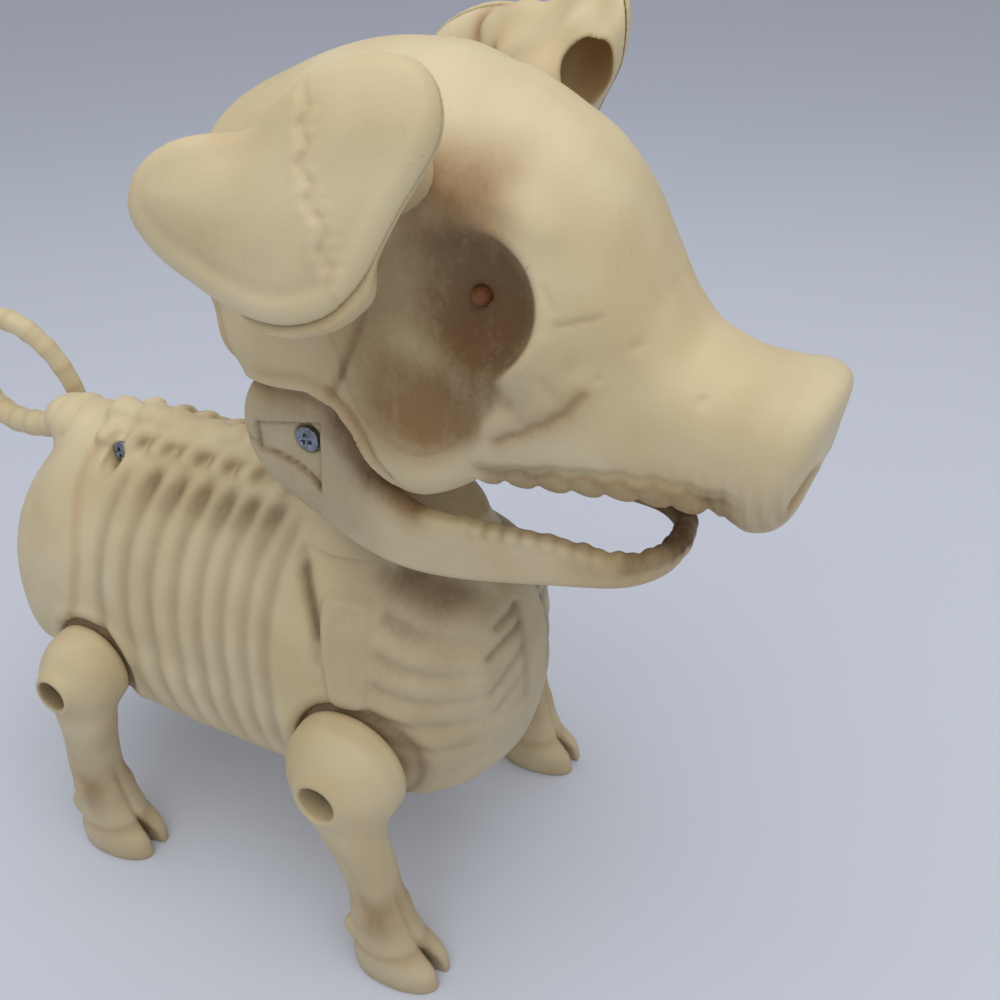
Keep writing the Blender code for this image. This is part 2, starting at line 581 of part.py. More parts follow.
# --------------------------------------------------------------------- legs
# shank sections: z, forward offset from the head's centre at floor scale, half widths across and along
SHANK = {
    "front": [(60, 0.8, 7.2, 9.5), (48, 3.2, 7.0, 8.2), (38, 6.0, 6.6, 7.2), (28, 7.8, 6.2, 6.8), (19, 9.0, 6.8, 7.4), (11, 10.5, 8.0, 9.2), (4.5, 12.4, 8.6, 12.2), (0, 13.0, 8.4, 12.6)],
    "rear": [(62, 0.0, 7.2, 9.5), (50, 0.3, 7.0, 8.0), (39, -1.2, 6.4, 7.2), (28, -2.6, 6.4, 7.4), (19, -1.8, 7.0, 8.0), (11, -0.8, 8.0, 9.4), (4.5, 0.2, 8.6, 12.2), (0, 0.6, 8.4, 12.6)],
}
LEG_AXIS = {}
for part, s, z in LEGS:
    for side in (-1, 1):
        name = f"{part}_{SIDE[side]}"
        LEG_AXIS[name] = pivot(f"leg_{name}_axis", (side * LEG_FACE, s, z))
        head_rings = []
        full = LEG_HEAD_R[part]
        for out, r in ((LEG_FACE, full - 1.0), (LEG_FACE + 1.0, full), (LEG_FACE + 6.0, full - 0.4), (LEG_FACE + 10.5, full * 0.79),
                       (LEG_FACE + 14.0, full * 0.53), (LEG_APEX, 5.0)):
            head_rings.append([P(side * out, s + r * math.cos(2 * math.pi * (i + 0.5) / 18), z + r * math.sin(2 * math.pi * (i + 0.5) / 18)) for i in range(18)])
        leg = add(f"leg_{name}", loft("leg_head", head_rings), BONE)
        shank_rings = []
        for h, ahead, rx, rs in SHANK[part]:
            shift = FOOT_X + (SHANK_X - FOOT_X) * h / SHANK[part][0][0]
            ring = []
            for i in range(12):
                a = 2 * math.pi * (i + 0.5) / 12
                ring.append(P(side * shift + rx * math.copysign(abs(math.cos(a)) ** 0.85, math.cos(a)),
                              s + ahead + rs * math.copysign(abs(math.sin(a)) ** 0.85, math.sin(a)), h))
            shank_rings.append(ring)
        boolean(leg, loft(f"shank_{name}", shank_rings), "UNION")
        toe = SHANK[part][-1]
        boolean(leg, loft(f"cleft_{name}", [
            [P(side * FOOT_X + dx, s + toe[1] + ds, h) for dx, ds in ((0.0, 4.5), (-w, 18), (w, 18))]
            for h, w in ((-2, 3.0), (12, 0.8))
        ]))
        boolean(leg, cylinder(f"leg_well_{name}", (side * 45.0, s, z), (side * 62, s, z), 4.2, 18))
        boolean(leg, cylinder(f"leg_hole_{name}", (side * 34, s, z), (side * 48, s, z), SCREW_R + 0.3, 16))
        hang(leg, LEG_AXIS[name])
        washer = add(f"leg_washer_{name}", cylinder("leg_washer", (side * 45.3, s, z), (side * 46.0, s, z), 3.7, 14), STEEL, 0.35, 1.0)
        boolean(washer, cylinder(f"washer_hole_{name}", (side * 44, s, z), (side * 48, s, z), SCREW_R + 0.3, 12))
        screw(f"leg_screw_{name}", (side * 46.3, s, z), (side, 0, 0), 22.0)

# ------------------------------------------------------- light-up eye supply
tray = add("battery_tray", box("battery_tray", (-BAY_X, BAY_S0, 41.0), (BAY_X, BAY_S1, 60.0)), (0.05, 0.05, 0.05))
boolean(tray, box("tray_inside", (-BAY_X + 1.6, BAY_S0 + 1.6, 30), (BAY_X - 1.6, BAY_S1 - 1.6, 58.4)))
cover = add("battery_cover", box("battery_cover", (-BAY_X, BAY_S0, 37.6), (BAY_X, BAY_S1, 40.6)), BONE)
boolean(cover, cylinder("cover_hole", (0, BAY_S1 - 4.0, 30), (0, BAY_S1 - 4.0, 50), SCREW_R + 0.35, 14))
boolean(cover, cylinder("cover_sink", (0, BAY_S1 - 4.0, 30), (0, BAY_S1 - 4.0, 39.8), SCREW_HEAD_R + 0.4, 16))
boolean(tray, box("tray_post", (-3.6, BAY_S1 - 7.8, 41.0), (3.6, BAY_S1 - 0.8, 59)), "UNION")
boolean(tray, cylinder("tray_bore", (0, BAY_S1 - 4.0, 38), (0, BAY_S1 - 4.0, 52), SCREW_R + 0.3, 14))
boolean(tray, cylinder("tray_wire_hole", (0, 8, 55), (0, 8, 64), 1.6, 12))
screw("battery_cover_screw", (0, BAY_S1 - 4.0, 39.5), (0, 0, -1), 10.0)
for side in (-1, 1):
    cell_s0, cell_s1 = BAY_S0 + 2.6, BAY_S0 + 46.2
    paint(turned(
        f"battery_cell_{SIDE[side]}",
        [(0.0, 44.0), (1.7, 44.0), (1.7, 43.2), (5.0, 43.2), (5.0, 0.0), (0.0, 0.0)],
        (side * 6.6, cell_s0 if side < 0 else cell_s1, 49.5), (0, side, 0), 12), (0.12, 0.12, 0.13), 0.3, 0.6)
switch = add("switch_body", box("switch_body", (-5.0, -44.0, 47.6), (5.0, -34.0, 53.0)), (0.03, 0.03, 0.03), 0.4)
boolean(switch, box("switch_channel", (-1.6, -42.6, 46), (1.6, -35.4, 50.4)))
knob = add("switch_knob", box("switch_knob", (-1.2, -38.6, 40.6), (1.2, -35.8, 49.9)), (0.03, 0.03, 0.03), 0.4)
paint(tube("battery_lead", smooth_path([(0, 8, 59.0), (0, 8, 66), (0, 12, 80), (0, 19, 92), (0, NECK_S, 104), (0, NECK_S, 125), (0, NECK_S, 160.5)], 2), 1.1), (0.35, 0.03, 0.03), 0.45)
for side in (-1, 1):
    paint(hang(tube(f"eye_lead_{SIDE[side]}", smooth_path([
        (side * 1.6, NECK_S + 0.6, 161.4), (side * 3.0, NECK_S + 6, 166), (side * 6, 42, 174), (side * 10.5, 58, 180.0), (side * 13.4, LED_S - 0.2, LED_Z - 0.1)], 2), 0.8), HEAD_TURN),
        (0.03, 0.03, 0.03) if side > 0 else (0.35, 0.03, 0.03), 0.45)
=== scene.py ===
"""Looks of the poseable pig skeleton figure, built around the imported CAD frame.

Lengths in the sculpting code are millimetres: x to the pig's left, s forward,
z up. Each moulded piece is a field that is negative inside the plastic, turned
into a mesh at the end.
"""

import math

import bpy
import numpy as np
from mathutils import Matrix, Vector

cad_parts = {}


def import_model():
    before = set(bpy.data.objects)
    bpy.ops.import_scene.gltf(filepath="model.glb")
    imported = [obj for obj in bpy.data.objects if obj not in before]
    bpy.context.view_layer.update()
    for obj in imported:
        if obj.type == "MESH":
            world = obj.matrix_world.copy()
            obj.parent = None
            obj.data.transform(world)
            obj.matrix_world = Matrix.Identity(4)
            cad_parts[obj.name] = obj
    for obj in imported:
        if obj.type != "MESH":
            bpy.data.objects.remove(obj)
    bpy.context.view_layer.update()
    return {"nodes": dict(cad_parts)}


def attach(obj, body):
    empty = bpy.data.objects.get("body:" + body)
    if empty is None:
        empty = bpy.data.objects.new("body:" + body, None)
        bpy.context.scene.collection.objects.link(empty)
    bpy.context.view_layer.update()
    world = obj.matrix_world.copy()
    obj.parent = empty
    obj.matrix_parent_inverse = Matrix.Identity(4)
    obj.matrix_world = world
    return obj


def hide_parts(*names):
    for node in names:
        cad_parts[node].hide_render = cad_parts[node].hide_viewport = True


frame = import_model()

MM = 0.001
ORIGIN_S = 4.71
FL = np.float32
SIDE = {-1: "right", 1: "left"}


# ------------------------------------------------------------------ field kit
def axes(lo, hi, h):
    out = []
    for k in range(3):
        n = int(math.ceil((hi[k] - lo[k]) / h)) + 1
        shape = [1, 1, 1]
        shape[k] = n
        out.append((lo[k] + h * np.arange(n)).astype(FL).reshape(shape))
    return out


def smin(a, b, k):
    t = np.clip(0.5 + 0.5 * (b - a) / k, 0, 1)
    return b + (a - b) * t - k * t * (1 - t)


def smax(a, b, k):
    return -smin(-a, -b, k)


def ramp(v, a, b):
    t = np.clip((v - a) / (b - a), 0, 1)
    return t * t * (3 - 2 * t)


def bump(v, w):
    return np.exp(-np.square(v / w))


def ball(P, c, r):
    x, y, z = ((P[i] - c[i]) / r[i] for i in range(3))
    k0 = np.sqrt(x * x + y * y + z * z)
    k1 = np.sqrt((x / r[0]) ** 2 + (y / r[1]) ** 2 + (z / r[2]) ** 2)
    return k0 * (k0 - 1) / np.maximum(k1, 1e-6)


def segment(P, a, b):
    """Distance to a straight line from a to b, in 2 or 3 coordinates, and how far along it is."""
    a, b = np.array(a, float), np.array(b, float)
    v = b - a
    t = sum((P[i] - a[i]) * v[i] for i in range(len(a))) / float(v @ v)
    t = np.clip(t, 0, 1)
    q = sum((P[i] - a[i] - v[i] * t) ** 2 for i in range(len(a)))
    return np.sqrt(q), t


def line(P, points):
    best = None
    for a, b in zip(points, points[1:]):
        q = segment(P, a, b)[0]
        best = q if best is None else np.minimum(best, q)
    return best


def outline(A, B, points):
    """Signed distance to a closed outline in a plane, negative inside."""
    near = None
    inside = np.zeros(np.broadcast(A, B).shape, bool)
    for (x0, y0), (x1, y1) in zip(points, points[1:] + points[:1]):
        q = segment((A, B), (x0, y0), (x1, y1))[0]
        near = q if near is None else np.minimum(near, q)
        if y0 != y1:
            across = ((y0 > B) != (y1 > B)) & (A < (x1 - x0) * (B - y0) / (y1 - y0) + x0)
            inside ^= across
    return np.where(inside, -near, near)


def smooth(points, per, closed=False):
    """More points on a smooth curve through the given ones."""
    p = [np.array(q, float) for q in points]
    p = [p[-1]] + p + [p[0], p[1]] if closed else [2 * p[0] - p[1]] + p + [2 * p[-1] - p[-2]]
    out = []
    for i in range(1, len(p) - 2):
        for k in range(per):
            t = k / per
            out.append(tuple(0.5 * (2 * p[i] + (p[i + 1] - p[i - 1]) * t
                                    + (2 * p[i - 1] - 5 * p[i] + 4 * p[i + 1] - p[i + 2]) * t * t
                                    + (3 * p[i] - p[i - 1] - 3 * p[i + 1] + p[i + 2]) * t ** 3)))
    if not closed:
        out.append(tuple(p[-2]))
    return out


def curve(xs, ys, q):
    """Smooth interpolation with no overshoot."""
    xs, ys = np.array(xs, float), np.array(ys, float)
    h = np.diff(xs)
    d = np.diff(ys) / h
    m = np.zeros(len(xs))
    m[0], m[-1] = d[0], d[-1]
    same = d[:-1] * d[1:] > 0
    w1, w2 = 2 * h[1:] + h[:-1], h[1:] + 2 * h[:-1]
    with np.errstate(divide="ignore", invalid="ignore"):
        inner = (w1 + w2) / (w1 / d[:-1] + w2 / d[1:])
    m[1:-1] = np.where(same, inner, 0.0)
    q = np.clip(q, xs[0], xs[-1])
    i = np.clip(np.searchsorted(xs, q, side="right") - 1, 0, len(xs) - 2)
    t = (q - xs[i]) / h[i]
    return ((2 * t ** 3 - 3 * t ** 2 + 1) * ys[i] + (t ** 3 - 2 * t ** 2 + t) * h[i] * m[i]
            + (3 * t ** 2 - 2 * t ** 3) * ys[i + 1] + (t ** 3 - t ** 2) * h[i] * m[i + 1]).astype(FL)


def steady(g, h):
    """A field with about the same slope everywhere near its surface."""
    gx, gy, gz = np.gradient(g, h)
    return np.clip(g / np.maximum(np.sqrt(gx * gx + gy * gy + gz * gz), 1e-4), -14, 14)


def lofted(X, S, Z, table, up, low, h, tilt=None):
    """Rounded cross sections along s: rows of s, top, bottom, half width, widest height."""
    rows = np.array(table, float)
    s = S if tilt is None else S - tilt[0] * ramp(S, tilt[2], tilt[3]) * (Z - tilt[1])
    mid = curve(rows[:, 0], rows[:, 4], s)
    half = np.sqrt(np.maximum(curve(rows[:, 0], rows[:, 3] ** 2, s), 0.02))
    above = np.sqrt(np.maximum(curve(rows[:, 0], (rows[:, 1] - rows[:, 4]) ** 2, s), 0.02))
    below = np.sqrt(np.maximum(curve(rows[:, 0], (rows[:, 4] - rows[:, 2]) ** 2, s), 0.02))
    over = (s < rows[0, 0]) * (rows[0, 0] - s) + (s > rows[-1, 0]) * (s - rows[-1, 0])
    p = np.where(Z >= mid, up, low).astype(FL)
    ax = np.clip(np.abs(X) / half, 1e-3, 40)
    az = np.clip(np.abs(Z - mid) / np.where(Z >= mid, above, below), 1e-3, 40)
    g = (ax ** p + az ** p) ** (1 / p) - 1 + over * 0.5
    return steady(g.astype(FL), h)


def skin(d, lo, h):
    """The zero surface of a field as vertices and four-sided faces."""
    inside = d < 0
    n = d.shape
    total = np.zeros(tuple(k - 1 for k in n), np.int8)
    corners = [(i, j, k) for i in (0, 1) for j in (0, 1) for k in (0, 1)]
    for i, j, k in corners:
        total += inside[i:n[0] - 1 + i, j:n[1] - 1 + j, k:n[2] - 1 + k]
    mixed = (total > 0) & (total < 8)
    cells = np.argwhere(mixed)
    index = np.full(mixed.shape, -1, np.int32)
    index[mixed] = np.arange(len(cells))
    summed, count = np.zeros((len(cells), 3)), np.zeros(len(cells))
    values = {c: d[cells[:, 0] + c[0], cells[:, 1] + c[1], cells[:, 2] + c[2]].astype(float) for c in corners}
    for a in corners:
        for axis in range(3):
            if a[axis]:
                continue
            b = tuple(1 if k == axis else a[k] for k in range(3))
            va, vb = values[a], values[b]
            cross = (va < 0) != (vb < 0)
            at = np.tile(np.array(a, float), (int(cross.sum()), 1))
            at[:, axis] = va[cross] / (va[cross] - vb[cross])
            summed[cross] += at
            count[cross] += 1
    verts = np.array(lo) + h * (cells + summed / count[:, None])
    quads = []
    for axis, o1, o2 in ((0, 1, 2), (1, 2, 0), (2, 0, 1)):
        near, far = [slice(1, -1)] * 3, [slice(1, -1)] * 3
        near[axis], far[axis] = slice(0, -1), slice(1, None)
        A, B = inside[tuple(near)], inside[tuple(far)]
        for leaving in (True, False):
            e = np.argwhere(A & ~B if leaving else ~A & B)
            e[:, o1] += 1
            e[:, o2] += 1
            ring = []
            for d1, d2 in ((1, 1), (0, 1), (0, 0), (1, 0)):
                c = e.copy()
                c[:, o1] -= d1
                c[:, o2] -= d2
                ring.append(index[c[:, 0], c[:, 1], c[:, 2]])
            q = np.stack(ring, 1)
            quads.append(q if leaving else q[:, ::-1])
    return verts, np.concatenate(quads)


def flush(p, field, lo, h, plane):
    """Vertices beside the middle plane moved onto it, and its edge onto the field's surface."""
    i = int(math.floor((plane - lo[0]) / h))
    near = p[:, 0] > lo[0] + h * i - 1e-6
    q = p[near]
    q[:, 0] = plane
    j = np.clip(np.floor((q[:, 1] - lo[1]) / h).astype(int), 0, field.shape[1] - 2)
    k = np.clip(np.floor((q[:, 2] - lo[2]) / h).astype(int), 0, field.shape[2] - 2)
    within = sum((field[i, j + a, k + b] < 0).astype(int) for a in (0, 1) for b in (0, 1))
    rim = (within > 0) & (within < 4)
    r, e = q[rim], 0.3 * h
    for _ in range(3):
        v = sample(field, r, lo, h)
        g = [(sample(field, r + step, lo, h) - sample(field, r - step, lo, h)) / (2 * e) for step in (np.array([0, e, 0]), np.array([0, 0, e]))]
        steep = np.maximum(g[0] ** 2 + g[1] ** 2, 0.05)
        for axis in (0, 1):
            r[:, axis + 1] -= np.clip(v * g[axis] / steep, -0.5 * h, 0.5 * h)
    q[rim] = r
    p[near] = q
    return p


def blurred(d, n):
    """Mean of the field over a cube of n cells each way."""
    out = d.astype(np.float64)
    for axis in range(3):
        pad = [(0, 0)] * 3
        pad[axis] = (n + 1, n)
        run = np.cumsum(np.pad(out, pad, mode="edge"), axis=axis)
        a, b = [slice(None)] * 3, [slice(None)] * 3
        a[axis], b[axis] = slice(2 * n + 1, None), slice(None, -2 * n - 1)
        out = (run[tuple(a)] - run[tuple(b)]) / (2 * n + 1)
    return out


def sample(field, p, lo, h):
    q = (p - np.array(lo)) / h
    i, f, out = [], [], 0.0
    for k in range(3):
        n = field.shape[k]
        b = np.clip(np.floor(q[:, k]).astype(int), 0, max(n - 2, 0))
        i.append((b, np.minimum(b + 1, n - 1)))
        f.append(np.clip(q[:, k] - b, 0, 1))
    for a in (0, 1):
        for b in (0, 1):
            for c in (0, 1):
                w = (f[0] if a else 1 - f[0]) * (f[1] if b else 1 - f[1]) * (f[2] if c else 1 - f[2])
                out = out + w * field[i[0][a], i[1][b], i[2][c]]
    return out


def hollows(d, p, lo, h, n):
    """How much each point lies in a crease, about 0 on flat ground."""
    return np.clip(-sample(blurred(np.clip(d, -n * h, n * h), n), p, lo, h) / (n * h), -1, 1)


# ---------------------------------------------------------------------- paint
def lin(r, g, b):
    out = []
    for v in (r, g, b):
        v /= 255
        out.append(v / 12.92 if v <= 0.04045 else ((v + 0.055) / 1.055) ** 2.4)
    return np.array(out)


BROWN = lin(110, 79, 42)
DEEP = lin(86, 59, 30)
RUST = lin(110, 73, 35)
UMBER = lin(146, 119, 80)
SOCKET_BROWN = lin(115, 90, 58)
TAN = lin(176, 140, 94)
GREY = lin(138, 122, 100)
BLUSH = lin(166, 130, 88)


class StainAndShade:
    """Stain and painted shade: colour and amount at each vertex."""

    def __init__(self, n):
        self.rgb = np.tile(BROWN, (n, 1))
        self.amount = np.zeros(n)

    def lay(self, colour, amount):
        amount = np.clip(amount, 0, 1)
        total = 1 - (1 - self.amount) * (1 - amount)
        part = np.where(total > 1e-5, amount / np.maximum(total, 1e-5), 0)[:, None]
        self.rgb += (colour - self.rgb) * part
        self.amount = total

    def rgba(self):
        return np.concatenate([self.rgb, self.amount[:, None]], 1)


# ----------------------------------------------------------------- object kit
def world(p):
    return np.stack([p[:, 0], ORIGIN_S - p[:, 1], p[:, 2]], 1) * MM


def piece(name, verts, quads, material, body, nodes, stain_and_shade=None):
    """A finished smooth mesh, in metres, riding on its body in place of CAD nodes."""
    mesh = bpy.data.meshes.new(name)
    mesh.from_pydata(np.round(verts, 7).tolist(), [], quads.tolist())
    mesh.polygons.foreach_set("use_smooth", np.ones(len(mesh.polygons), bool))
    if stain_and_shade is not None:
        # per-vertex colour of stains and painted shade
        layer = mesh.attributes.new("stain_and_shade", "FLOAT_COLOR", "POINT")
        layer.data.foreach_set("color", stain_and_shade.rgba().astype(np.float32).ravel())
    mesh.update()
    mesh.set_sharp_from_angle(angle=math.radians(62))
    mesh.materials.append(material)
    obj = bpy.data.objects.new(name, mesh)
    bpy.context.scene.collection.objects.link(obj)
    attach(obj, body)
    if nodes:
        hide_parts(*nodes)
    return obj


def mirrored(p):
    return p * np.array([-1.0, 1.0, 1.0])


def lathe(profile, place, direction, steps=36):
    """A turned shape: profile of (radius, along), placed in (x, s, z)."""
    axis = Vector((direction[0], direction[1], direction[2])).normalized()
    side = axis.orthogonal().normalized()
    other = axis.cross(side)
    verts, quads = [], []
    for r, t in profile:
        for k in range(steps):
            w = 2 * math.pi * k / steps
            verts.append(Vector(place) + axis * t + (side * math.cos(w) + other * math.sin(w)) * max(r, 1e-3))
    for i in range(len(profile) - 1):
        for k in range(steps):
            j = (k + 1) % steps
            quads.append((i * steps + k, i * steps + j, (i + 1) * steps + j, (i + 1) * steps + k))
    return np.array([tuple(v) for v in verts]), np.array(quads)


# ------------------------------------------------------------------ materials
def shader(name):
    made = bpy.data.materials.new(name)
    made.use_nodes = True
    return made, made.node_tree.nodes, made.node_tree.links, made.node_tree.nodes["Principled BSDF"]


def noise(nodes, links, coords, scale, detail, rough=0.55):
    made = nodes.new("ShaderNodeTexNoise")
    made.inputs["Scale"].default_value = scale
    made.inputs["Detail"].default_value = detail
    made.inputs["Roughness"].default_value = rough
    links.new(coords, made.inputs["Vector"])
    return made.outputs["Fac"]


def remap(nodes, links, value, a, b, c, d):
    made = nodes.new("ShaderNodeMapRange")
    for key, v in (("From Min", a), ("From Max", b), ("To Min", c), ("To Max", d)):
        made.inputs[key].default_value = v
    links.new(value, made.inputs["Value"])
    return made.outputs["Result"]


def sums(nodes, links, kind, a, b):
    made = nodes.new("ShaderNodeMath")
    made.operation = kind
    for i, v in enumerate((a, b)):
        if isinstance(v, (int, float)):
            made.inputs[i].default_value = v
        else:
            links.new(v, made.inputs[i])
    return made.outputs[0]


def blend(nodes, links, factor, a, b):
    made = nodes.new("ShaderNodeMix")
    made.data_type = "RGBA"
    if isinstance(factor, (int, float)):
        made.inputs["Factor"].default_value = factor
    else:
        links.new(factor, made.inputs["Factor"])
    for key, v in ((6, a), (7, b)):
        if isinstance(v, (tuple, list, np.ndarray)):
            made.inputs[key].default_value = (*[float(q) for q in v], 1.0)
        else:
            links.new(v, made.inputs[key])
    return made.outputs[2]


def bone_plastic(name, light, dark, stained_and_shaded=True):
    """Cream moulded plastic with brown wiped into its hollows, and painted shade, both from the per-vertex colour."""
    made, nodes, links, bsdf = shader(name)
    coords = nodes.new("ShaderNodeTexCoord").outputs["Object"]
    broad = noise(nodes, links, coords, 38.0, 2.0)
    patch = noise(nodes, links, coords, 150.0, 4.0, 0.6)
    grain = noise(nodes, links, coords, 900.0, 3.0, 0.6)
    colour = blend(nodes, links, remap(nodes, links, broad, 0.35, 0.68, 0.0, 1.0), light, dark)
    specks = remap(nodes, links, grain, 0.66, 0.76, 0.0, 0.35)
    colour = blend(nodes, links, specks, colour, lin(168, 140, 98))
    rough = remap(nodes, links, patch, 0.3, 0.7, 0.40, 0.54)
    if stained_and_shaded:
        # per-vertex colour of stains and painted shade
        layer = nodes.new("ShaderNodeAttribute")
        layer.attribute_name = "stain_and_shade"
        amount = layer.outputs["Alpha"]
        # patchy where it is thin, even where it is thick
        spread = sums(nodes, links, "MULTIPLY", amount, remap(nodes, links, patch, 0.28, 0.72, 0.93, 1.07))
        spread = sums(nodes, links, "MULTIPLY", spread, remap(nodes, links, grain, 0.3, 0.7, 0.94, 1.06))
        long = nodes.new("ShaderNodeVectorMath")
        long.operation = "MULTIPLY"
        links.new(coords, long.inputs[0])
        long.inputs[1].default_value = (1.0, 1.0, 0.32)
        marks = noise(nodes, links, long.outputs["Vector"], 210.0, 4.0, 0.6)
        spread = sums(nodes, links, "MULTIPLY", spread, remap(nodes, links, marks, 0.3, 0.7, 0.92, 1.12))
        spread = sums(nodes, links, "MINIMUM", spread, 1.0)
        colour = blend(nodes, links, spread, colour, layer.outputs["Color"])
        rough = sums(nodes, links, "ADD", rough, remap(nodes, links, spread, 0.0, 1.0, 0.0, 0.14))
    links.new(colour, bsdf.inputs["Base Color"])
    links.new(rough, bsdf.inputs["Roughness"])
    bsdf.inputs["Specular IOR Level"].default_value = 0.42
    bsdf.inputs["Subsurface Weight"].default_value = 0.0
    relief = sums(nodes, links, "ADD", sums(nodes, links, "MULTIPLY", patch, 0.7), sums(nodes, links, "MULTIPLY", grain, 0.3))
    rise = nodes.new("ShaderNodeBump")
    rise.inputs["Strength"].default_value = 0.28
    rise.inputs["Distance"].default_value = 0.0007
    links.new(relief, rise.inputs["Height"])
    links.new(rise.outputs["Normal"], bsdf.inputs["Normal"])
    return made


def metal(name, light, dark, low, high):
    made, nodes, links, bsdf = shader(name)
    coords = nodes.new("ShaderNodeTexCoord").outputs["Object"]
    broad = noise(nodes, links, coords, 420.0, 4.0)
    fine = noise(nodes, links, coords, 2600.0, 2.0)
    links.new(blend(nodes, links, remap(nodes, links, broad, 0.35, 0.7, 0.0, 1.0), light, dark), bsdf.inputs["Base Color"])
    links.new(remap(nodes, links, fine, 0.3, 0.7, low, high), bsdf.inputs["Roughness"])
    bsdf.inputs["Metallic"].default_value = 1.0
    rise = nodes.new("ShaderNodeBump")
    rise.inputs["Strength"].default_value = 0.2
    rise.inputs["Distance"].default_value = 0.0001
    links.new(fine, rise.inputs["Height"])
    links.new(rise.outputs["Normal"], bsdf.inputs["Normal"])
    return made


def moulded(name, light, dark, low, high, scale=700.0):
    made, nodes, links, bsdf = shader(name)
    coords = nodes.new("ShaderNodeTexCoord").outputs["Object"]
    broad = noise(nodes, links, coords, scale * 0.2, 3.0)
    fine = noise(nodes, links, coords, scale, 3.0)
    links.new(blend(nodes, links, remap(nodes, links, broad, 0.35, 0.7, 0.0, 1.0), light, dark), bsdf.inputs["Base Color"])
    links.new(remap(nodes, links, fine, 0.3, 0.7, low, high), bsdf.inputs["Roughness"])
    rise = nodes.new("ShaderNodeBump")
    rise.inputs["Strength"].default_value = 0.25
    rise.inputs["Distance"].default_value = 0.0002
    links.new(fine, rise.inputs["Height"])
    links.new(rise.outputs["Normal"], bsdf.inputs["Normal"])
    return made


CREAM = lin(222, 207, 170)
CREAM_DARK = lin(208, 190, 148)
BONE = bone_plastic("bone_plastic", CREAM, CREAM_DARK)
BONE_PLAIN = bone_plastic("bone_plastic_plain", CREAM, CREAM_DARK, stained_and_shaded=False)
ZINC = metal("screw_steel", lin(158, 166, 180), lin(104, 112, 126), 0.24, 0.44)
LENS = moulded("led_lens", lin(134, 82, 40), lin(106, 62, 28), 0.5, 0.66, 1600.0)
BLACK = moulded("black_plastic", lin(34, 34, 36), lin(24, 24, 25), 0.42, 0.6)
CAN = metal("cell_can", lin(70, 74, 78), lin(48, 50, 54), 0.25, 0.4)
RED = moulded("red_insulation", lin(150, 26, 24), lin(120, 18, 18), 0.4, 0.55)
DARK = moulded("black_insulation", lin(30, 30, 30), lin(20, 20, 20), 0.4, 0.55)

# ---------------------------------------------------------------------- skull
SKULL = [
    (-26.0, 207, 155, 27.4, 181),
    (-6.0, 208, 154, 27.8, 181),
    (2.0, 210, 151.5, 28.6, 180),
    (11.0, 213.2, 146, 29.6, 178),
    (21.0, 217.4, 138, 31.0, 177),
    (32.0, 220.3, 138, 31.6, 175),
    (43.0, 221, 138, 32.0, 172),
    (52.0, 220, 135.8, 32.2, 167),
    (60.0, 217.5, 137.8, 31.5, 164),
    (66.0, 215.2, 140.8, 30.4, 163.5),
    (72.0, 212, 142.6, 29.0, 163),
    (79.0, 208, 143.6, 26.0, 162),
    (86.0, 200.5, 143.5, 23.0, 160),
    (91.0, 191, 143.4, 21.0, 159),
    (96.0, 180.8, 143.2, 19.6, 158),
    (103.0, 173.0, 142.4, 18.3, 157),
    (110.0, 170.2, 139.8, 17.9, 155),
    (115.0, 169.6, 137.4, 18.2, 153.5),
    (119.0, 169.6, 136.6, 18.5, 153),
    (123.0, 169.2, 136.6, 18.6, 153),
    (134.0, 168.4, 136.8, 18.4, 153),
]
WALL = 2.2
RIM = [(4.5, 158.0), (16.0, 157.5), (30.0, 158.3), (36.0, 156.2), (40.0, 150.8), (42.8, 144.4), (46.5, 138.6), (51.0, 135.6), (55.0, 134.8)]
CRACK_EYE = [(81.0, 179.2), (82.5, 179.3), (84.5, 179.9), (86.0, 180.0), (87.4, 180.5)]
CRACK_CHEEK = [(71.2, 155.8), (73.5, 157.3), (75.6, 157.6), (77.6, 159.2), (79.9, 159.9), (81.6, 161.6), (83.3, 162.4), (84.6, 164.3), (85.8, 165.6)]
LIP = [(34.6, 160.2), (38.6, 156.6), (42.0, 151.6), (44.8, 146.2), (47.6, 142.4)]
REAR_CREASE = [(41.6, 175.5), (39.6, 169.0), (37.6, 163.5), (35.4, 158.6)]
UPPER_TEETH = [(66.8, 25.4, 144.6), (73.3, 23.7, 144.3), (79.9, 22.2, 144.2), (86.4, 20.8, 144.2), (93.0, 19.6, 144.4), (99.5, 18.6, 144.3), (106.0, 17.9, 144.2)]
EAR_ROOT = np.array([24.7, 52.0, 203.0])
EAR_AXIS = np.array([0.91, 0.20, 0.36]) / np.linalg.norm([0.91, 0.20, 0.36])


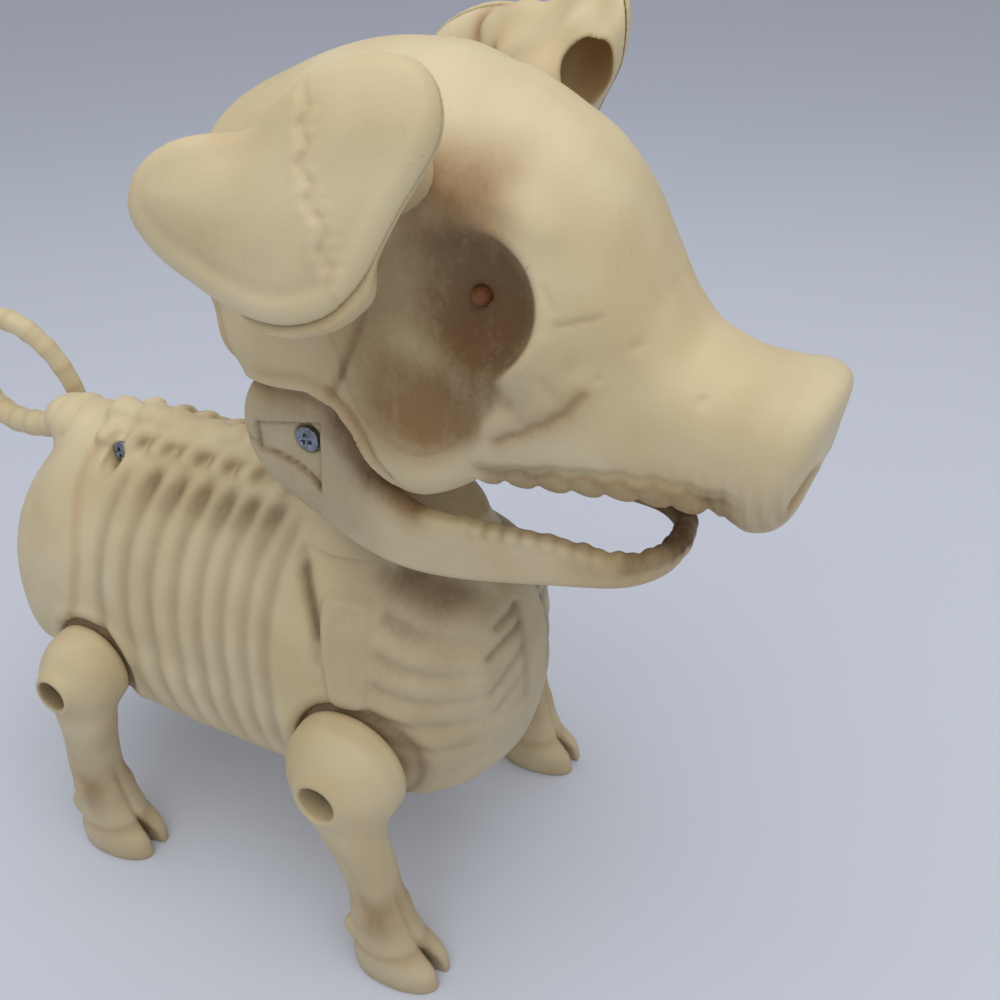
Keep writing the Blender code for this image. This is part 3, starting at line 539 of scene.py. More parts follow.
def make_skull():
    h, lo, hi = 0.6, (-38.0, -14.0, 127.0), (1.0, 134.0, 226.0)
    X, S, Z = axes(lo, hi, h)
    a = -X
    low = np.where(S < 52, 6.0, np.where(S < 64, 6.0 - 2.8 * (S - 52) / 12, np.where(S < 112, 3.2, 2.7)))
    base = lofted(X, S, Z, SKULL, 2.15, low, h, (0.22, 152.0, 109.0, 121.0))
    # blunt end of the snout, leaning back
    slant = S - 0.22 * (Z - 152.0)
    base = smax(base, (slant - 127.2 + 0.010 * a * a + 0.004 * (Z - 153.0) ** 2) / 1.03, 4.6)
    # round back of the head
    wide = np.sqrt(a * a + (Z - 183.0) ** 2)
    base = smax(base, (-S - 10.7 + 0.0168 * wide ** 2) / np.sqrt(1 + (0.0336 * wide) ** 2), 5.0)
    d = base.copy()
    P = (a, S, Z)
    # swelling of the braincase behind the crease, and a hollow strip at the very back
    d = smin(d, ball(P, (22.8, 19.0, 165.0), (9.2, 15.0, 10.5)), 4.0)
    d = d + 1.5 * bump(line((S, Z), [(0.5, 186.0), (3.0, 176.0), (6.5, 168.0), (10.5, 158.0)]), 2.0) * ramp(a, 12, 20)
    d = smax(d, -ball(P, (30.5, 6.2, 170.0), (4.0, 1.5, 1.5)), 0.8)
    # brow over the socket
    d = d - 0.7 * bump(line((S, Z), [(52, 200.6), (58, 201.0), (66, 200.6), (72, 198.6), (77, 194.6)]), 3.0) * ramp(a, 14, 20)
    # socket, and the wide shallow fossa it opens into behind
    socket = ball(P, (35.6, 65.8, 182.8), (15.8, 16.2, 17.0))
    fossa = ball(P, (39.5, 51.5, 178.0), (15.0, 19.0, 23.0))
    cheek_pit = ball(P, (38.0, 54.5, 158.0), (9.6, 15.5, 11.0))
    pit = smin(smin(socket, fossa, 9.0), cheek_pit, 9.0)
    d = smax(d, -pit, 0.9 + 5.1 * np.maximum(ramp(-S, -69, -57), ramp(-Z, -173, -164)))
    d = d - 0.45 * bump(line((S, Z), [(62.0, 168.4), (66.0, 167.6), (71.0, 168.4), (75.6, 171.4), (79.0, 176.0)]), 1.6) * ramp(a, 18, 24)
    # folds and cracks
    d = d + 0.6 * bump(line((S, Z), CRACK_CHEEK), 0.8) * ramp(a, 14, 18)
    d = d - 0.5 * bump(line((S, Z), [(s - 0.8, z + 2.4) for s, z in CRACK_CHEEK]), 2.2) * ramp(a, 14, 18)
    d = d + 0.32 * bump(line((S, Z), CRACK_EYE), 0.55) * ramp(a, 10, 14)
    d = d + 0.28 * bump(line((S, Z), [(78.0, 185.4), (79.8, 181.9)]), 0.6) * ramp(a, 14, 18)
    d = d + 0.5 * bump(line((S, Z), REAR_CREASE), 0.7) * ramp(a, 20, 26)
    d = d + 0.35 * bump(line((S, Z), [(89.2, 166.0), (89.0, 159.0), (89.3, 152.0)]), 1.2) * ramp(a, 12, 16)
    # shallow dish in front of the eye and lumpy cheek
    d = d + 0.8 * bump(line((S, Z), [(86.0, 172.0), (92.0, 166.0)]), 5.0) * ramp(a, 14, 18)
    d = d + 0.45 * bump(line((S, Z), [(73.5, 163.5), (74.5, 160.5)]), 1.5) * ramp(a, 18, 22)
    d = d + 0.4 * bump(line((S, Z), [(79.0, 168.5), (81.0, 165.0)]), 1.3) * ramp(a, 16, 20)
    for s, z, r in ((93.5, 174.6, 1.0), (106.3, 165.5, 0.9), (88.0, 168.6, 0.7)):
        d = d + 0.5 * bump(np.sqrt((S - s) ** 2 + (Z - z) ** 2), r) * ramp(a, 8, 11)
    # fine upright scratches along the snout's side
    lined = np.sin(S * 3.1 + 0.8 * np.sin(Z * 0.35)) * 0.5 + np.sin(S * 4.9 + 1.3 + 0.6 * np.sin(Z * 0.5)) * 0.5
    d = d + 0.10 * lined * ramp(S, 90, 97) * ramp(-S, -123, -117) * ramp(Z, 143, 147) * ramp(-Z, -160, -152) * ramp(a, 10, 14)
    # gum line and low upper teeth
    wave = 0.5 * np.cos((S - 66.7) * 2 * math.pi / 6.55)
    fade = ramp(S, 64, 68) * ramp(-S, -114, -108) * ramp(a, 12, 15)
    d = d + 0.45 * bump(Z - (146.9 + wave), 0.7) * fade - 0.25 * bump(Z - (148.6 + 0.7 * wave), 1.0) * fade
    d = smin(d, line(P, [(x - 2.0, s, z + 2.0) for s, x, z in UPPER_TEETH]) - 2.2, 1.5)
    for s, x, z in UPPER_TEETH:
        d = smin(d, ball(P, (x - 1.7, s, z), (1.8, 3.8, 1.8)), 1.2)
    for s, x, z in UPPER_TEETH:
        d = d + 0.35 * bump(S - (s + 3.3), 0.55) * ramp(-Z, -147, -145) * ramp(a, 13, 15)
    # roof of the mouth, nostril, flat of the nose
    palate = ball(P, (0.0, 88.0, 137.5), (15.5, 27.0, 9.0))
    d = smax(d, -palate, 2.5)
    nostril = ball((a, slant, Z), (9.6, 126.6, 149.0), (3.2, 3.4, 4.2))
    d = d - 0.28 * bump(slant - 119.4, 1.8) * ramp(a * a + (Z - 153) ** 2, 200, 270) * ramp(Z, 134, 142)
    d = smax(d, -nostril, 2.4)
    # soft groove between the nostrils and a fold over each
    d = d + 0.4 * bump(a, 1.6) * ramp(slant, 122, 125) * ramp(-Z, -164, -158)
    d = d - 0.35 * bump(line((a, Z), [(4.6, 151.0), (7.4, 154.6), (11.6, 154.6), (14.0, 151.0)]), 1.1) * ramp(slant, 122, 125)
    # lip along the open lower edge
    d = d - 0.9 * bump(line((S, Z), RIM), 1.5) * ramp(a, 18, 24) * ramp(S, 8, 14)
    d = d + 0.4 * bump(line((S, Z), LIP), 0.5) * ramp(a, 20, 24)
    # hollow inside
    room = np.maximum(base + WALL, WALL - pit)
    room = np.maximum(room, WALL - palate)
    room = np.maximum(room, 1.8 - nostril)
    room = np.maximum(room, d + 1.6)
    d = np.maximum(d, -room)
    # open back underneath, holes for the bead and the ear's peg, middle plane
    rs, rz = zip(*RIM)
    edge = np.where(S < 55.0, np.interp(S, rs, rz), 90.0)
    d = smax(d, (edge - Z) * 0.85, 1.3)
    d = np.maximum(d, 1.9 - np.sqrt((S - 64.0) ** 2 + (Z - 180.7) ** 2) - 60 * (a < 12))
    off = [P[i] - EAR_ROOT[i] for i in range(3)]
    along = sum(off[i] * EAR_AXIS[i] for i in range(3))
    away = np.sqrt(np.maximum(sum(o * o for o in off) - along * along, 0))
    d = np.maximum(d, np.minimum(2.9 - away, 14 + along))
    whole = d
    d = np.maximum(d, X + 0.03)

    p, quads = skin(d, lo, h)
    p = flush(p, whole, lo, h, -0.012)
    depth = -sample(base, p, lo, h)
    crease = hollows(d, p, lo, h, 4)
    x, s, z = p.T
    q = np.abs(x)
    st = StainAndShade(len(p))
    out = ramp(q, 6, 12)
    # brown wash and painted shade laid into the creases
    st.lay(BROWN, np.clip(crease - 0.14, 0, 1) * 0.7 * (1 - ramp(depth, 1.5, 4.0) * ramp(s, 38, 46) * ramp(-s, -82, -76)))
    bare = ramp(depth, 0.2, 1.4 + 2.8 * ramp(-s, -68, -56)) * ramp(q, 14, 18)
    hole = ramp(s, 36, 46) * ramp(-s, -86, -81) * ramp(z, 148, 154) * ramp(-z, -204, -198)
    # tan above the socket, down to its edge and back under the ear
    st.lay(BLUSH, 0.8 * ramp(s, 47, 54) * ramp(-s, -75, -66) * ramp(z, 189, 194) * ramp(-z, -213, -202) * out)
    st.lay(RUST, 0.2 * bump(s - 58, 8.0) * bump(z - 198, 5.0) * out)
    # brown over the whole hollow, thinner behind and on the ridge below the socket
    ridge = bump(line((s, z), [(48, 171.0), (54, 169.0), (60, 166.6)]), 4.2)
    st.lay(UMBER, (0.62 + 0.28 * ramp(s, 46, 58)) * bare * hole * (1 - 0.45 * ridge))
    eye = ramp(s, 48, 64) * hole * ramp(q, 12, 16) * (1 - 0.6 * ridge)
    # darker brown the deeper into the socket
    st.lay(SOCKET_BROWN, 0.9 * ramp(depth, 0.6, 5.0) * eye)
    st.lay(RUST, 0.65 * ramp(depth, 1.0, 6.0) * eye * ramp(-z, -187, -172))
    st.lay(DEEP, 0.35 * bump(line((s, z), [(70.0, 195.0), (76.0, 190.0), (78.6, 183.5), (76.5, 175.0), (70.0, 169.6)]), 3.0) * bare)
    low_pit = ramp(s, 38, 50) * ramp(-s, -69, -56) * ramp(z, 143, 155) * ramp(-z, -171, -158) * ramp(q, 20, 24)
    st.lay(UMBER, 0.5 * low_pit)
    st.lay(RUST, 0.4 * low_pit * np.exp(-((s - 51.5) / 9.5) ** 2 - ((z - 155.5) / 7.5) ** 2))
    st.lay(BLUSH, 0.4 * bump(s - 54, 13) * bump(z - 156, 10) * ramp(q, 20, 24) * ramp(z, 144, 150))
    # painted shadow under the ear
    st.lay(UMBER, 0.45 * bump(s - 42, 8) * bump(z - 172, 20) * ramp(q, 20, 24))
    st.lay(UMBER, 0.3 * bump(s - 46, 11) * bump(z - 160, 13) * ramp(q, 20, 24) * ramp(z, 146, 152))
    st.lay(BROWN, 0.5 * bump(line((s, z), LIP), 0.7) * ramp(q, 20, 24))
    st.lay(GREY, 0.42 * bump(s - 76, 10) * bump(z - 163.5, 8.5) * out)
    st.lay(BROWN, 0.42 * bump(line((s, z), CRACK_CHEEK), 1.0) * out)
    st.lay(TAN, 0.4 * bump(line((s, z), CRACK_CHEEK), 2.4) * out)
    st.lay(BROWN, 0.22 * bump(line((s, z), CRACK_EYE), 0.7) * out)
    st.lay(BROWN, 0.4 * bump(line((s, z), REAR_CREASE), 0.9) * out)
    st.lay(TAN, 0.5 * bump(line((s, z), [(0.5, 186.0), (3.0, 176.0), (6.5, 168.0), (10.5, 158.0)]), 3.0) * out)
    # painted shadow under the ear, behind the crease
    st.lay(TAN, 0.4 * bump(s - 30, 9) * bump(z - 178, 9) * ramp(q, 20, 26))
    gum = ramp(s, 64, 68) * ramp(-s, -118, -112) * out
    st.lay(BROWN, gum * (0.45 * bump(z - 146.9 - 0.5 * np.cos((s - 66.7) * 2 * math.pi / 6.55), 1.0) + 0.2 * ramp(-z, -147, -144)))
    st.lay(UMBER, gum * 0.62 * ramp(-z, -151, -145.5))
    st.lay(BROWN, gum * 0.3 * bump(z - 149.2 - 0.4 * np.cos((s - 66.7) * 2 * math.pi / 6.55), 0.8))
    st.lay(TAN, 0.14 * ramp(s, 84, 104) * ramp(-z, -155, -143) * out)
    streak = 0.6 + 0.25 * np.sin(1.9 * s + 0.3 * z) + 0.15 * np.sin(4.3 * s + 1.0)
    st.lay(UMBER, 0.36 * streak * ramp(s, 96, 108) * ramp(-z, -156, -146) * out)
    # painted shade on the snout's end and top, toning down the light from above
    st.lay(GREY, 0.12 * ramp(s, 104, 118))
    st.lay(TAN, 0.22 * bump(s - 94, 8) * ramp(z, 168, 176))
    st.lay(RUST, 0.4 * ramp(-sample(nostril, p, lo, h), -1.4, 0.4))
    st.lay(TAN, 0.4 * ramp(-sample(nostril, p, lo, h), -3.2, 0.0))
    # painted shade: brown on the inside faces of the shell
    outside = np.minimum(pit, palate)
    st.lay(BROWN, 0.7 * ramp(depth, 1.5, 2.0) * ramp(sample(outside, p, lo, h), 0.9, 1.8))
    st.lay(TAN, 0.4 * bump(z - np.interp(s, rs, rz) - 3.2, 1.6) * ramp(s, 14, 20) * ramp(-s, -50, -44) * ramp(q, 20, 26))
    for side in (-1, 1):
        where = p if side < 0 else mirrored(p)
        faces = quads[:, ::-1] if side < 0 else quads
        piece(f"skull_{SIDE[side]}", world(where), faces, BONE, "head", [f"skull_{SIDE[side]}_shell"], st)


make_skull()

# ------------------------------------------------------------------------ jaw
JAW_ARM = [
    (24.0, 14.0, 152, 133.5, 5.0), (24.0, 24.0, 150, 124.5, 5.0), (24.4, 36.0, 143, 119.0, 5.2), (24.8, 47.0, 134, 117.4, 5.4),
    (23.6, 58.0, 131.4, 117.2, 5.4), (21.6, 69.0, 130.4, 118.0, 5.2), (19.0, 80.0, 129.2, 119.0, 5.0), (16.4, 90.0, 127.0, 119.6, 4.4),
    (12.6, 95.4, 126.0, 119.6, 4.0), (7.0, 99.0, 125.8, 119.8, 3.8), (0.0, 100.2, 126.0, 120.2, 3.8),
]
POCKET = [(10.7, 144.6), (10.8, 138.0), (15.5, 137.6), (20.5, 136.4), (23.6, 134.4), (26.6, 131.6), (28.0, 148.2)]


def make_jaw():
    h, lo, hi = 0.6, (-30.0, 3.0, 113.0), (30.0, 108.0, 164.0)
    X, S, Z = axes(lo, hi, h)
    a = np.abs(X)
    path = smooth(JAW_ARM, 4)
    best = np.full(np.broadcast(X, S).shape, 1e9, FL)
    top, bottom, wide, run = (np.zeros_like(best) for _ in range(4))
    done = 0.0
    places = []
    for k, (u, v) in enumerate(zip(path, path[1:])):
        q, t = segment((a, S), u[:2], v[:2])
        size = math.hypot(v[0] - u[0], v[1] - u[1])
        nearer = q < best
        best = np.where(nearer, q, best)
        for field, i in ((top, 2), (bottom, 3), (wide, 4)):
            field[nearer] = (u[i] + (v[i] - u[i]) * t)[nearer]
        run[nearer] = (done + size * t)[nearer]
        places.append((done, u))
        done += size
    places.append((done, path[-1]))
    mid, tall = (top + bottom) / 2, (top - bottom) / 2
    r = 1.9
    qx, qz = best - wide / 2 + r, np.abs(Z - mid) - tall + r
    d = np.minimum(np.maximum(qx, qz), 0) + np.sqrt(np.maximum(qx, 0) ** 2 + np.maximum(qz, 0) ** 2) - r
    # round plate at the hinge
    ring = np.sqrt((S - 24.0) ** 2 + (Z - 143.4) ** 2)
    r = 1.3
    qx, qz = ring - 17.0 + r, np.abs(a - 23.85) - 2.35 + r
    plate = np.minimum(np.maximum(qx, qz), 0) + np.sqrt(np.maximum(qx, 0) ** 2 + np.maximum(qz, 0) ** 2) - r
    d = smin(d, plate, 2.5)
    # swelling of the cheek end, thinner upper edge behind the teeth
    d = d - 0.5 * bump(line((S, Z), [(33.0, 128.0), (52.0, 124.5)]), 6.0) * ramp(a, 22, 25)
    # sunk panel round the screw
    panel = outline(S, Z, POCKET)
    d = np.maximum(d, -np.maximum(panel, 25.45 - a))
    d = d + 0.3 * bump(np.abs(panel), 0.45) * ramp(a, 24.6, 25.2)
    d = d + 0.35 * bump(line((S, Z), [(5.5, 141.6), (10.8, 139.4)]), 0.5) * ramp(a, 24, 26)
    d = d + 0.25 * bump(line((S, Z), [(26.6, 131.6), (28.5, 127.5)]), 0.7) * ramp(a, 24, 26)
    d = np.maximum(d, -np.maximum(ring - 3.5, 24.6 - a))
    d = np.maximum(d, 1.75 - ring)
    # teeth: low crowns along the upper edge, with rounder fronts toward the chin
    marks, dist = [], [m[0] for m in places]
    start = next(m for m, u in places if u[1] >= 57.0)
    count = 14
    step = (done - start) / (count + 0.5)
    for k in range(count + 1):
        at = start + step * (k + 0.5)
        peak = float(np.interp(at, dist, [u[2] for _, u in places])) + 1.2
        marks.append(at)
        uneven = 0.4 * math.sin(2.9 * k + 0.6)
        crown = np.sqrt(((run - at - uneven) / (step * 0.54)) ** 2 + (best / 2.2) ** 2 + ((Z - (peak + uneven - 2.3)) / 2.1) ** 2)
        d = smin(d, (crown - 1) * 2.0, 1.6)
        if k > 6:
            front = np.sqrt(((run - at) / (step * 0.52)) ** 2 + (best / (2.2 + 0.03 * (k - 6))) ** 2 + ((Z - (peak - 3.2)) / 2.9) ** 2)
            d = smin(d, (front - 1) * 2.3, 1.0)
    d = d + 0.3 * bump(line((S, Z), [(60, 129.4), (80, 127.4)]), 0.8) * ramp(best, 1.2, 2.2)
    p, quads = skin(d, lo, h)
    crease = hollows(d, p, lo, h, 3)
    x, s, z = p.T
    q = np.abs(x)
    st = StainAndShade(len(p))
    # brown wash and painted shade laid into the creases
    st.lay(BROWN, np.clip(crease - 0.14, 0, 1) * 1.0)
    spread = sample(np.broadcast_to(run, d.shape), p, lo, h)
    gap = np.zeros(len(p))
    for at in marks:
        gap = np.maximum(gap, bump(spread - (at + step / 2), 0.9))
    st.lay(BROWN, 0.42 * gap * ramp(s, 60, 66) * ramp(z, 124 + 4 * ramp(-s, -88, -76), 131))
    # painted shade: grey over the jaw, heavier at its rear under the skull and ear
    st.lay(GREY, 0.18 + 0.2 * ramp(-s, -44, -36))
    st.lay(TAN, 0.4 * ramp(s, 74, 94))
    st.lay(BROWN, 0.2 * ramp(s, 86, 98) * ramp(z, 120, 128))
    # painted shade inside the front arch, and painted shadow of the skull's rim on the hidden end behind it
    arch = [(u[0], u[1]) for u in path if u[1] > 44]
    arch = arch + [(-u, v) for u, v in arch[-2::-1]]
    st.lay(DEEP, 0.8 * ramp(-outline(x, s, arch), 0.5, 1.6) * ramp(s, 78, 92))
    st.lay(BROWN, 0.35 * ramp(-outline(x, s, arch), 0.5, 1.6) * ramp(s, 50, 70))
    st.lay(DEEP, (0.35 + 0.4 * ramp(x, -10, -4)) * ramp(z, 123.0, 124.8) * ramp(s, 91, 95))
    # painted shadow cast by the skull's rim
    st.lay(BROWN, 0.6 * bump(line((s, z), [(16, 159.5), (27, 159), (34, 154), (39.5, 146), (43.5, 139.5), (50, 134.5)]), 3.4) * ramp(q, 20, 23))
    under = line((s, z), [(12, 154.5), (26, 154.0), (32.5, 151.0), (37.0, 145.5), (40.0, 140.0), (44.0, 135.5), (50.0, 133.0)])
    st.lay(TAN, 0.45 * bump(under, 4.0) * ramp(q, 20, 23))
    st.lay(BROWN, 0.4 * bump(under, 1.8) * ramp(q, 20, 23))
    st.lay(DEEP, 0.6 * bump(line((s, z), [(33.0, 149.0), (37.0, 143.0), (40.0, 138.6)]), 3.6) * ramp(q, 20, 23))
    edge = np.interp(s, [u[1] for u in JAW_ARM], [u[2] for u in JAW_ARM])
    st.lay(BROWN, 0.4 * ramp(z - edge, 0.0, 1.3) * ramp(s, 50, 58) * ramp(-s, -93, -84))
    # painted shade on the downward-facing lower part of the hinge plate
    st.lay(GREY, 0.25 * bump(s - 24, 9) * bump(z - 128, 6) * ramp(q, 22, 25))
    st.lay(BROWN, 0.3 * bump(np.abs(outline(s, z, POCKET)), 0.45) * ramp(q, 24.6, 25.2))
    st.lay(BROWN, 0.3 * bump(line((s, z), [(5.5, 141.6), (10.8, 139.4)]), 0.5) * ramp(q, 24, 26))
    piece("jaw_bone", world(p), quads[:, ::-1], BONE, "jaw", ["jaw"], st)


make_jaw()

# ----------------------------------------------------------------------- ears
EAR_O = np.array([-49.8, 45.5, 204.8])
EAR_N = np.array([-0.895, 0.088, 0.437])
EAR_N /= np.linalg.norm(EAR_N)
EAR_V = np.array([0.0, 0.0, 1.0]) - EAR_N * EAR_N[2]
EAR_V /= np.linalg.norm(EAR_V)
EAR_U = np.cross(EAR_N, EAR_V)
EAR_TURN = {-1: 0.0, 1: 10.4}
EAR_LEAN = np.array([-0.513, 0.090, -0.853])
EAR = [
    (-29.8, -3.4), (-29.4, 0.4), (-27.2, 3.9), (-23.0, 7.0), (-17.4, 9.0), (-11.6, 10.2), (-8.2, 11.9), (-4.6, 14.8), (-1.4, 17.6),
    (1.4, 20.4), (5.0, 22.3), (9.4, 23.7), (13.8, 24.2), (18.4, 23.1), (22.0, 20.3), (24.2, 16.4), (24.9, 12.6), (24.2, 9.2),
    (22.3, 5.1), (19.8, 0.3), (17.6, -5.2), (15.6, -10.0), (12.6, -14.8), (9.2, -18.0), (4.0, -19.9), (-2.2, -20.0), (-9.0, -18.3),
    (-17.0, -15.0), (-21.6, -12.9), (-26.0, -9.8), (-29.0, -6.4),
]
SUTURE = [
    (0.2, 20.0), (1.2, 16.4), (2.8, 13.4), (2.2, 10.6), (4.1, 7.8), (3.4, 4.8), (5.7, 1.9), (5.6, -0.6),
    (7.8, -3.0), (9.2, -5.6), (8.5, -8.0), (10.6, -10.2), (11.0, -13.0), (12.0, -16.0),
]


def ear_shift(U, V):
    """How far the flap's middle bows out of its plane."""
    bow = 0.0085 * np.square(np.minimum(V + 8.0, 0.0))
    bow = bow - 0.016 * np.square(np.maximum(V - 9.0, 0.0)) * ramp(U, -8, 4)
    bow = bow - 3.2 * bump(U + 11.0, 7.5) * bump(V - 13.0, 8.5)
    bow = bow + 0.8 * bump(U + 24, 9) * bump(V + 4, 7)
    return bow


def leaned(p, share):
    """The flap's top leans out and its front edge curls in; the root stays."""
    u, v = p[:, 0] / 25, p[:, 1] / 22
    much = -3.8 + 5.3 * u - 8.6 * v + 7.3 * u * u + 4.1 * u * v - 1.6 * v * v
    return p + (share * much * ramp(p[:, 2], -20, -8))[:, None] * EAR_LEAN


def edge_of(p):
    return outline(p[:, 0], p[:, 1], smooth(EAR, 2, closed=True))


def make_ears():
    h, lo, hi = 0.5, (-35.0, -27.0, -30.0), (29.0, 29.0, 9.5)
    U, V, N = axes(lo, hi, h)
    ring = smooth(EAR, 2, closed=True)
    flat = outline(U, V, ring)                       # (u, v, 1)
    bow = ear_shift(U, V)
    n = N - bow
    wall = smooth(SUTURE, 3)
    # which side of the suture a point is on: positive behind it
    at = np.interp(-V, [-q[1] for q in wall], [q[0] for q in wall])
    behind = ramp(at - U, -0.35, 0.55)
    # outer half: a pillow over the parting plane
    dome = 3.3 + 1.1 * (1 - bump(np.minimum(flat, 0), 8.0)) + 0.42 * behind * ramp(-flat, 0.5, 4.0)
    r = 2.9
    qx, qz = flat + r, n - dome + r
    shell = np.minimum(np.maximum(qx, qz), 0) + np.sqrt(np.maximum(qx, 0) ** 2 + np.maximum(qz, 0) ** 2) - r
    face = ramp(n, 1.5, 3.0) * ramp(-flat, 0.5, 3.0)
    shell = shell + 0.34 * bump(line((U, V), wall), 0.75) * face
    # small scallops and wrinkles where the rear lobe laps over
    for k, (su, sv) in enumerate(smooth(SUTURE, 2)[1:-2:2]):
        size = 0.16 + 0.16 * ramp(-sv, -4.0, 8.0)
        shell = shell - size * bump(np.sqrt((U - su + 1.7) ** 2 + (V - sv) ** 2), 1.3) * face
        shell = shell + 0.5 * size * bump(line((U, V), [(su + 0.4, sv - 1.0), (su + 3.2, sv - 0.2 - 0.3 * (k % 3))]), 0.55) * face
    shell = shell + 0.25 * bump(line((U, V), [(-13, 8), (-16, 1)]), 4.0) * face
    # shallow dip just inside the edge
    shell = shell + 0.22 * bump(flat + 4.6, 1.3) * ramp(-V, -4, 6) * ramp(n, 1.0, 2.5)
    shell = smax(shell, 0.06 - n, 0.25)
    po, qo = skin(shell, lo, h)
    crease = hollows(shell, po, lo, h, 3)
    so = StainAndShade(len(po))
    # brown wash and painted shade laid into the creases
    so.lay(BROWN, np.clip(crease - 0.2, 0, 1) * 0.34)
    # painted shade along the suture crease
    so.lay(TAN, 0.2 * bump(line((po[:, 0], po[:, 1]), wall), 0.8) * ramp(po[:, 2], 1, 3))
    # painted shade: greyer toward the flap's lower part
    so.lay(GREY, 0.26 * ramp(-po[:, 1], -3, 14) * ramp(-edge_of(po), 1.0, 5.0))
    # painted shade in the dip in the middle of the flap
    so.lay(TAN, 0.25 * bump(po[:, 0] + 12, 5) * bump(po[:, 1] - 8.0, 3.0))
    edge = sample(np.broadcast_to(flat, shell.shape), po, lo, h)
    rise = sample(np.broadcast_to(n, shell.shape), po, lo, h)
    so.lay(UMBER, 0.35 * bump(rise - 0.1, 0.4) * ramp(edge, -2.0, -0.5))
    # inner half: a deep cushion behind the flap, with a neck to the root on the skull
    root = np.array([np.dot(np.array([-EAR_ROOT[0], EAR_ROOT[1], EAR_ROOT[2]]) - EAR_O, e) for e in (EAR_U, EAR_V, EAR_N)])
    deep = -n
    past = flat - 2.3 * ramp(-V, 7, 15) * ramp(U, -9, 0) + 0.2
    past = past + 0.42 * np.maximum(deep - 1.0, 0) * ramp(V, -16, -4) * ramp(U, 4, 13)
    past = past + 0.018 * np.square(np.maximum(deep, 0.0))
    floor = 13.0 - 6.5 * ramp(-U, 6, 26) - 4.0 * ramp(-V, 4, 18)
    e = smax(past, deep - floor, 6.0)
    neck, t = segment((U, V, N), root + np.array([-6.0, -3.5, 13.0]), root + np.array([-1.0, 0.0, 0.8]))
    e = smin(e, np.maximum(neck - (9.0 - 2.2 * t), root[2] + 0.8 - N), 4.0)
    hollow = ball((U, V, N), (15.2, 8.6, -8.8), (11.5, 9.6, 7.0))
    e = smax(e, -hollow, 1.4)
    cushion = e
    for side in (-1, 1):
        # the left one is fuller behind the notch of its outline
        e = cushion if side < 0 else smin(cushion, ball((U, V, N), (-9.0, 5.5, -5.5), (10.5, 8.2, 5.0)), 3.0)
        # wrinkles on top, behind
        creases = [[(-21.5, 8.5, -2), (-20.5, 6, -6), (-18.5, 4, -10)], [(-15.5, 12, -2), (-14.5, 9, -6), (-12.5, 6, -11)], [(-9.0, 13.0, -3), (-8.0, 10.0, -8)]]
        for k, path in enumerate(creases):
            e = e + (0.7, 0.6, 0.35)[k] * bump(line((U, V, N), path), 1.2)
        peg = np.array([np.dot(np.array([-EAR_AXIS[0], EAR_AXIS[1], EAR_AXIS[2]]), q) for q in (EAR_U, EAR_V, EAR_N)])
        a, b = root - peg * 6.8, root + peg * 6.0
        e = smin(e, segment((U, V, N), a, b)[0] - 2.5, 1.0)
        e = smax(e, n + 0.06, 0.25)
        pi, qi = skin(e, lo, h)
        crease = hollows(e, pi, lo, h, 4)
        si = StainAndShade(len(pi))
        # brown wash and painted shade laid into the creases
        si.lay(BROWN, np.clip(crease - 0.15, 0, 1) * 0.7)
        si.lay(TAN, 0.7 * ramp(-sample(hollow, pi, lo, h), -1.4, 0.4))
        si.lay(RUST, 0.22 * ramp(-sample(hollow, pi, lo, h), -0.8, 0.4) * ramp(pi[:, 1], 2, 12))
        # painted shade along the wrinkles
        for path in creases[:2]:
            si.lay(TAN, 0.6 * bump(line(tuple(pi.T), path), 2.2))
            si.lay(BROWN, 0.35 * bump(line(tuple(pi.T), path), 1.1))
        si.lay(TAN, 0.35 * ramp(-pi[:, 2], 11, 19))
        rise = sample(np.broadcast_to(n, e.shape), pi, lo, h)
        si.lay(UMBER, 0.35 * bump(rise + 0.1, 0.4))
        for part, p, q, st in (("outer", po, qo, so), ("inner", pi, qi, si)):
            p = leaned(p, 0.3 if side < 0 else 1.0)
            x = EAR_O + p[:, :1] * EAR_U + p[:, 1:2] * EAR_V + p[:, 2:] * EAR_N
            if side > 0:
                x = mirrored(x)
            verts = world(x)
            if EAR_TURN[side]:
                c = np.array([side * EAR_ROOT[0], ORIGIN_S - EAR_ROOT[1], EAR_ROOT[2]]) * MM
                k = Vector((side * EAR_AXIS[0], -EAR_AXIS[1], EAR_AXIS[2]))
                turn = np.array(Matrix.Rotation(math.radians(side * EAR_TURN[side]), 3, k))
                verts = (verts - c) @ turn.T + c
            piece(f"ear_{SIDE[side]}_{part}_half", verts, q if side < 0 else q[:, ::-1], BONE, f"ear_{SIDE[side]}",
                  [f"ear_{SIDE[side]}_{part}"], st)


make_ears()

# ----------------------------------------------------------------------- body
BODY = [
    (-100.0, 99, 48.5, 29.0, 73),
    (-88.0, 104.5, 48, 30.5, 73),
    (-78.0, 109.5, 47, 32.4, 73),
    (-66.0, 115.5, 45.6, 34.6, 74),
    (-50.0, 118.5, 42.5, 36.6, 74),
    (-34.0, 119.5, 38.5, 37, 72),
    (-12.0, 119.5, 38, 37, 70),
    (10.0, 118, 38, 37, 70),
    (28.0, 116.5, 38, 37, 70),
    (42.0, 113, 38.5, 35.5, 72),
    (53.0, 109, 41.5, 32, 75),
    (62.0, 105, 46, 28, 77),
    (76.0, 100, 50, 25, 78),
]
RIB_GAPS = [-42.0, -33.5, -25.5, -17.5, -10.0, -3.0, 4.0, 10.5]
LEGS = {"front": (34.4, 62.0), "rear": (-48.5, 62.5)}
LEG_R = {"front": 15.5, "rear": 11.8}
BODY_SCREWS = {"rear": (-49.5, 114.0), "haunch": (-70.5, 56.5), "chest": (43.0, 47.0)}
SCREW_SEAT = {"rear": 9.6, "haunch": 7.6, "chest": 7.6}
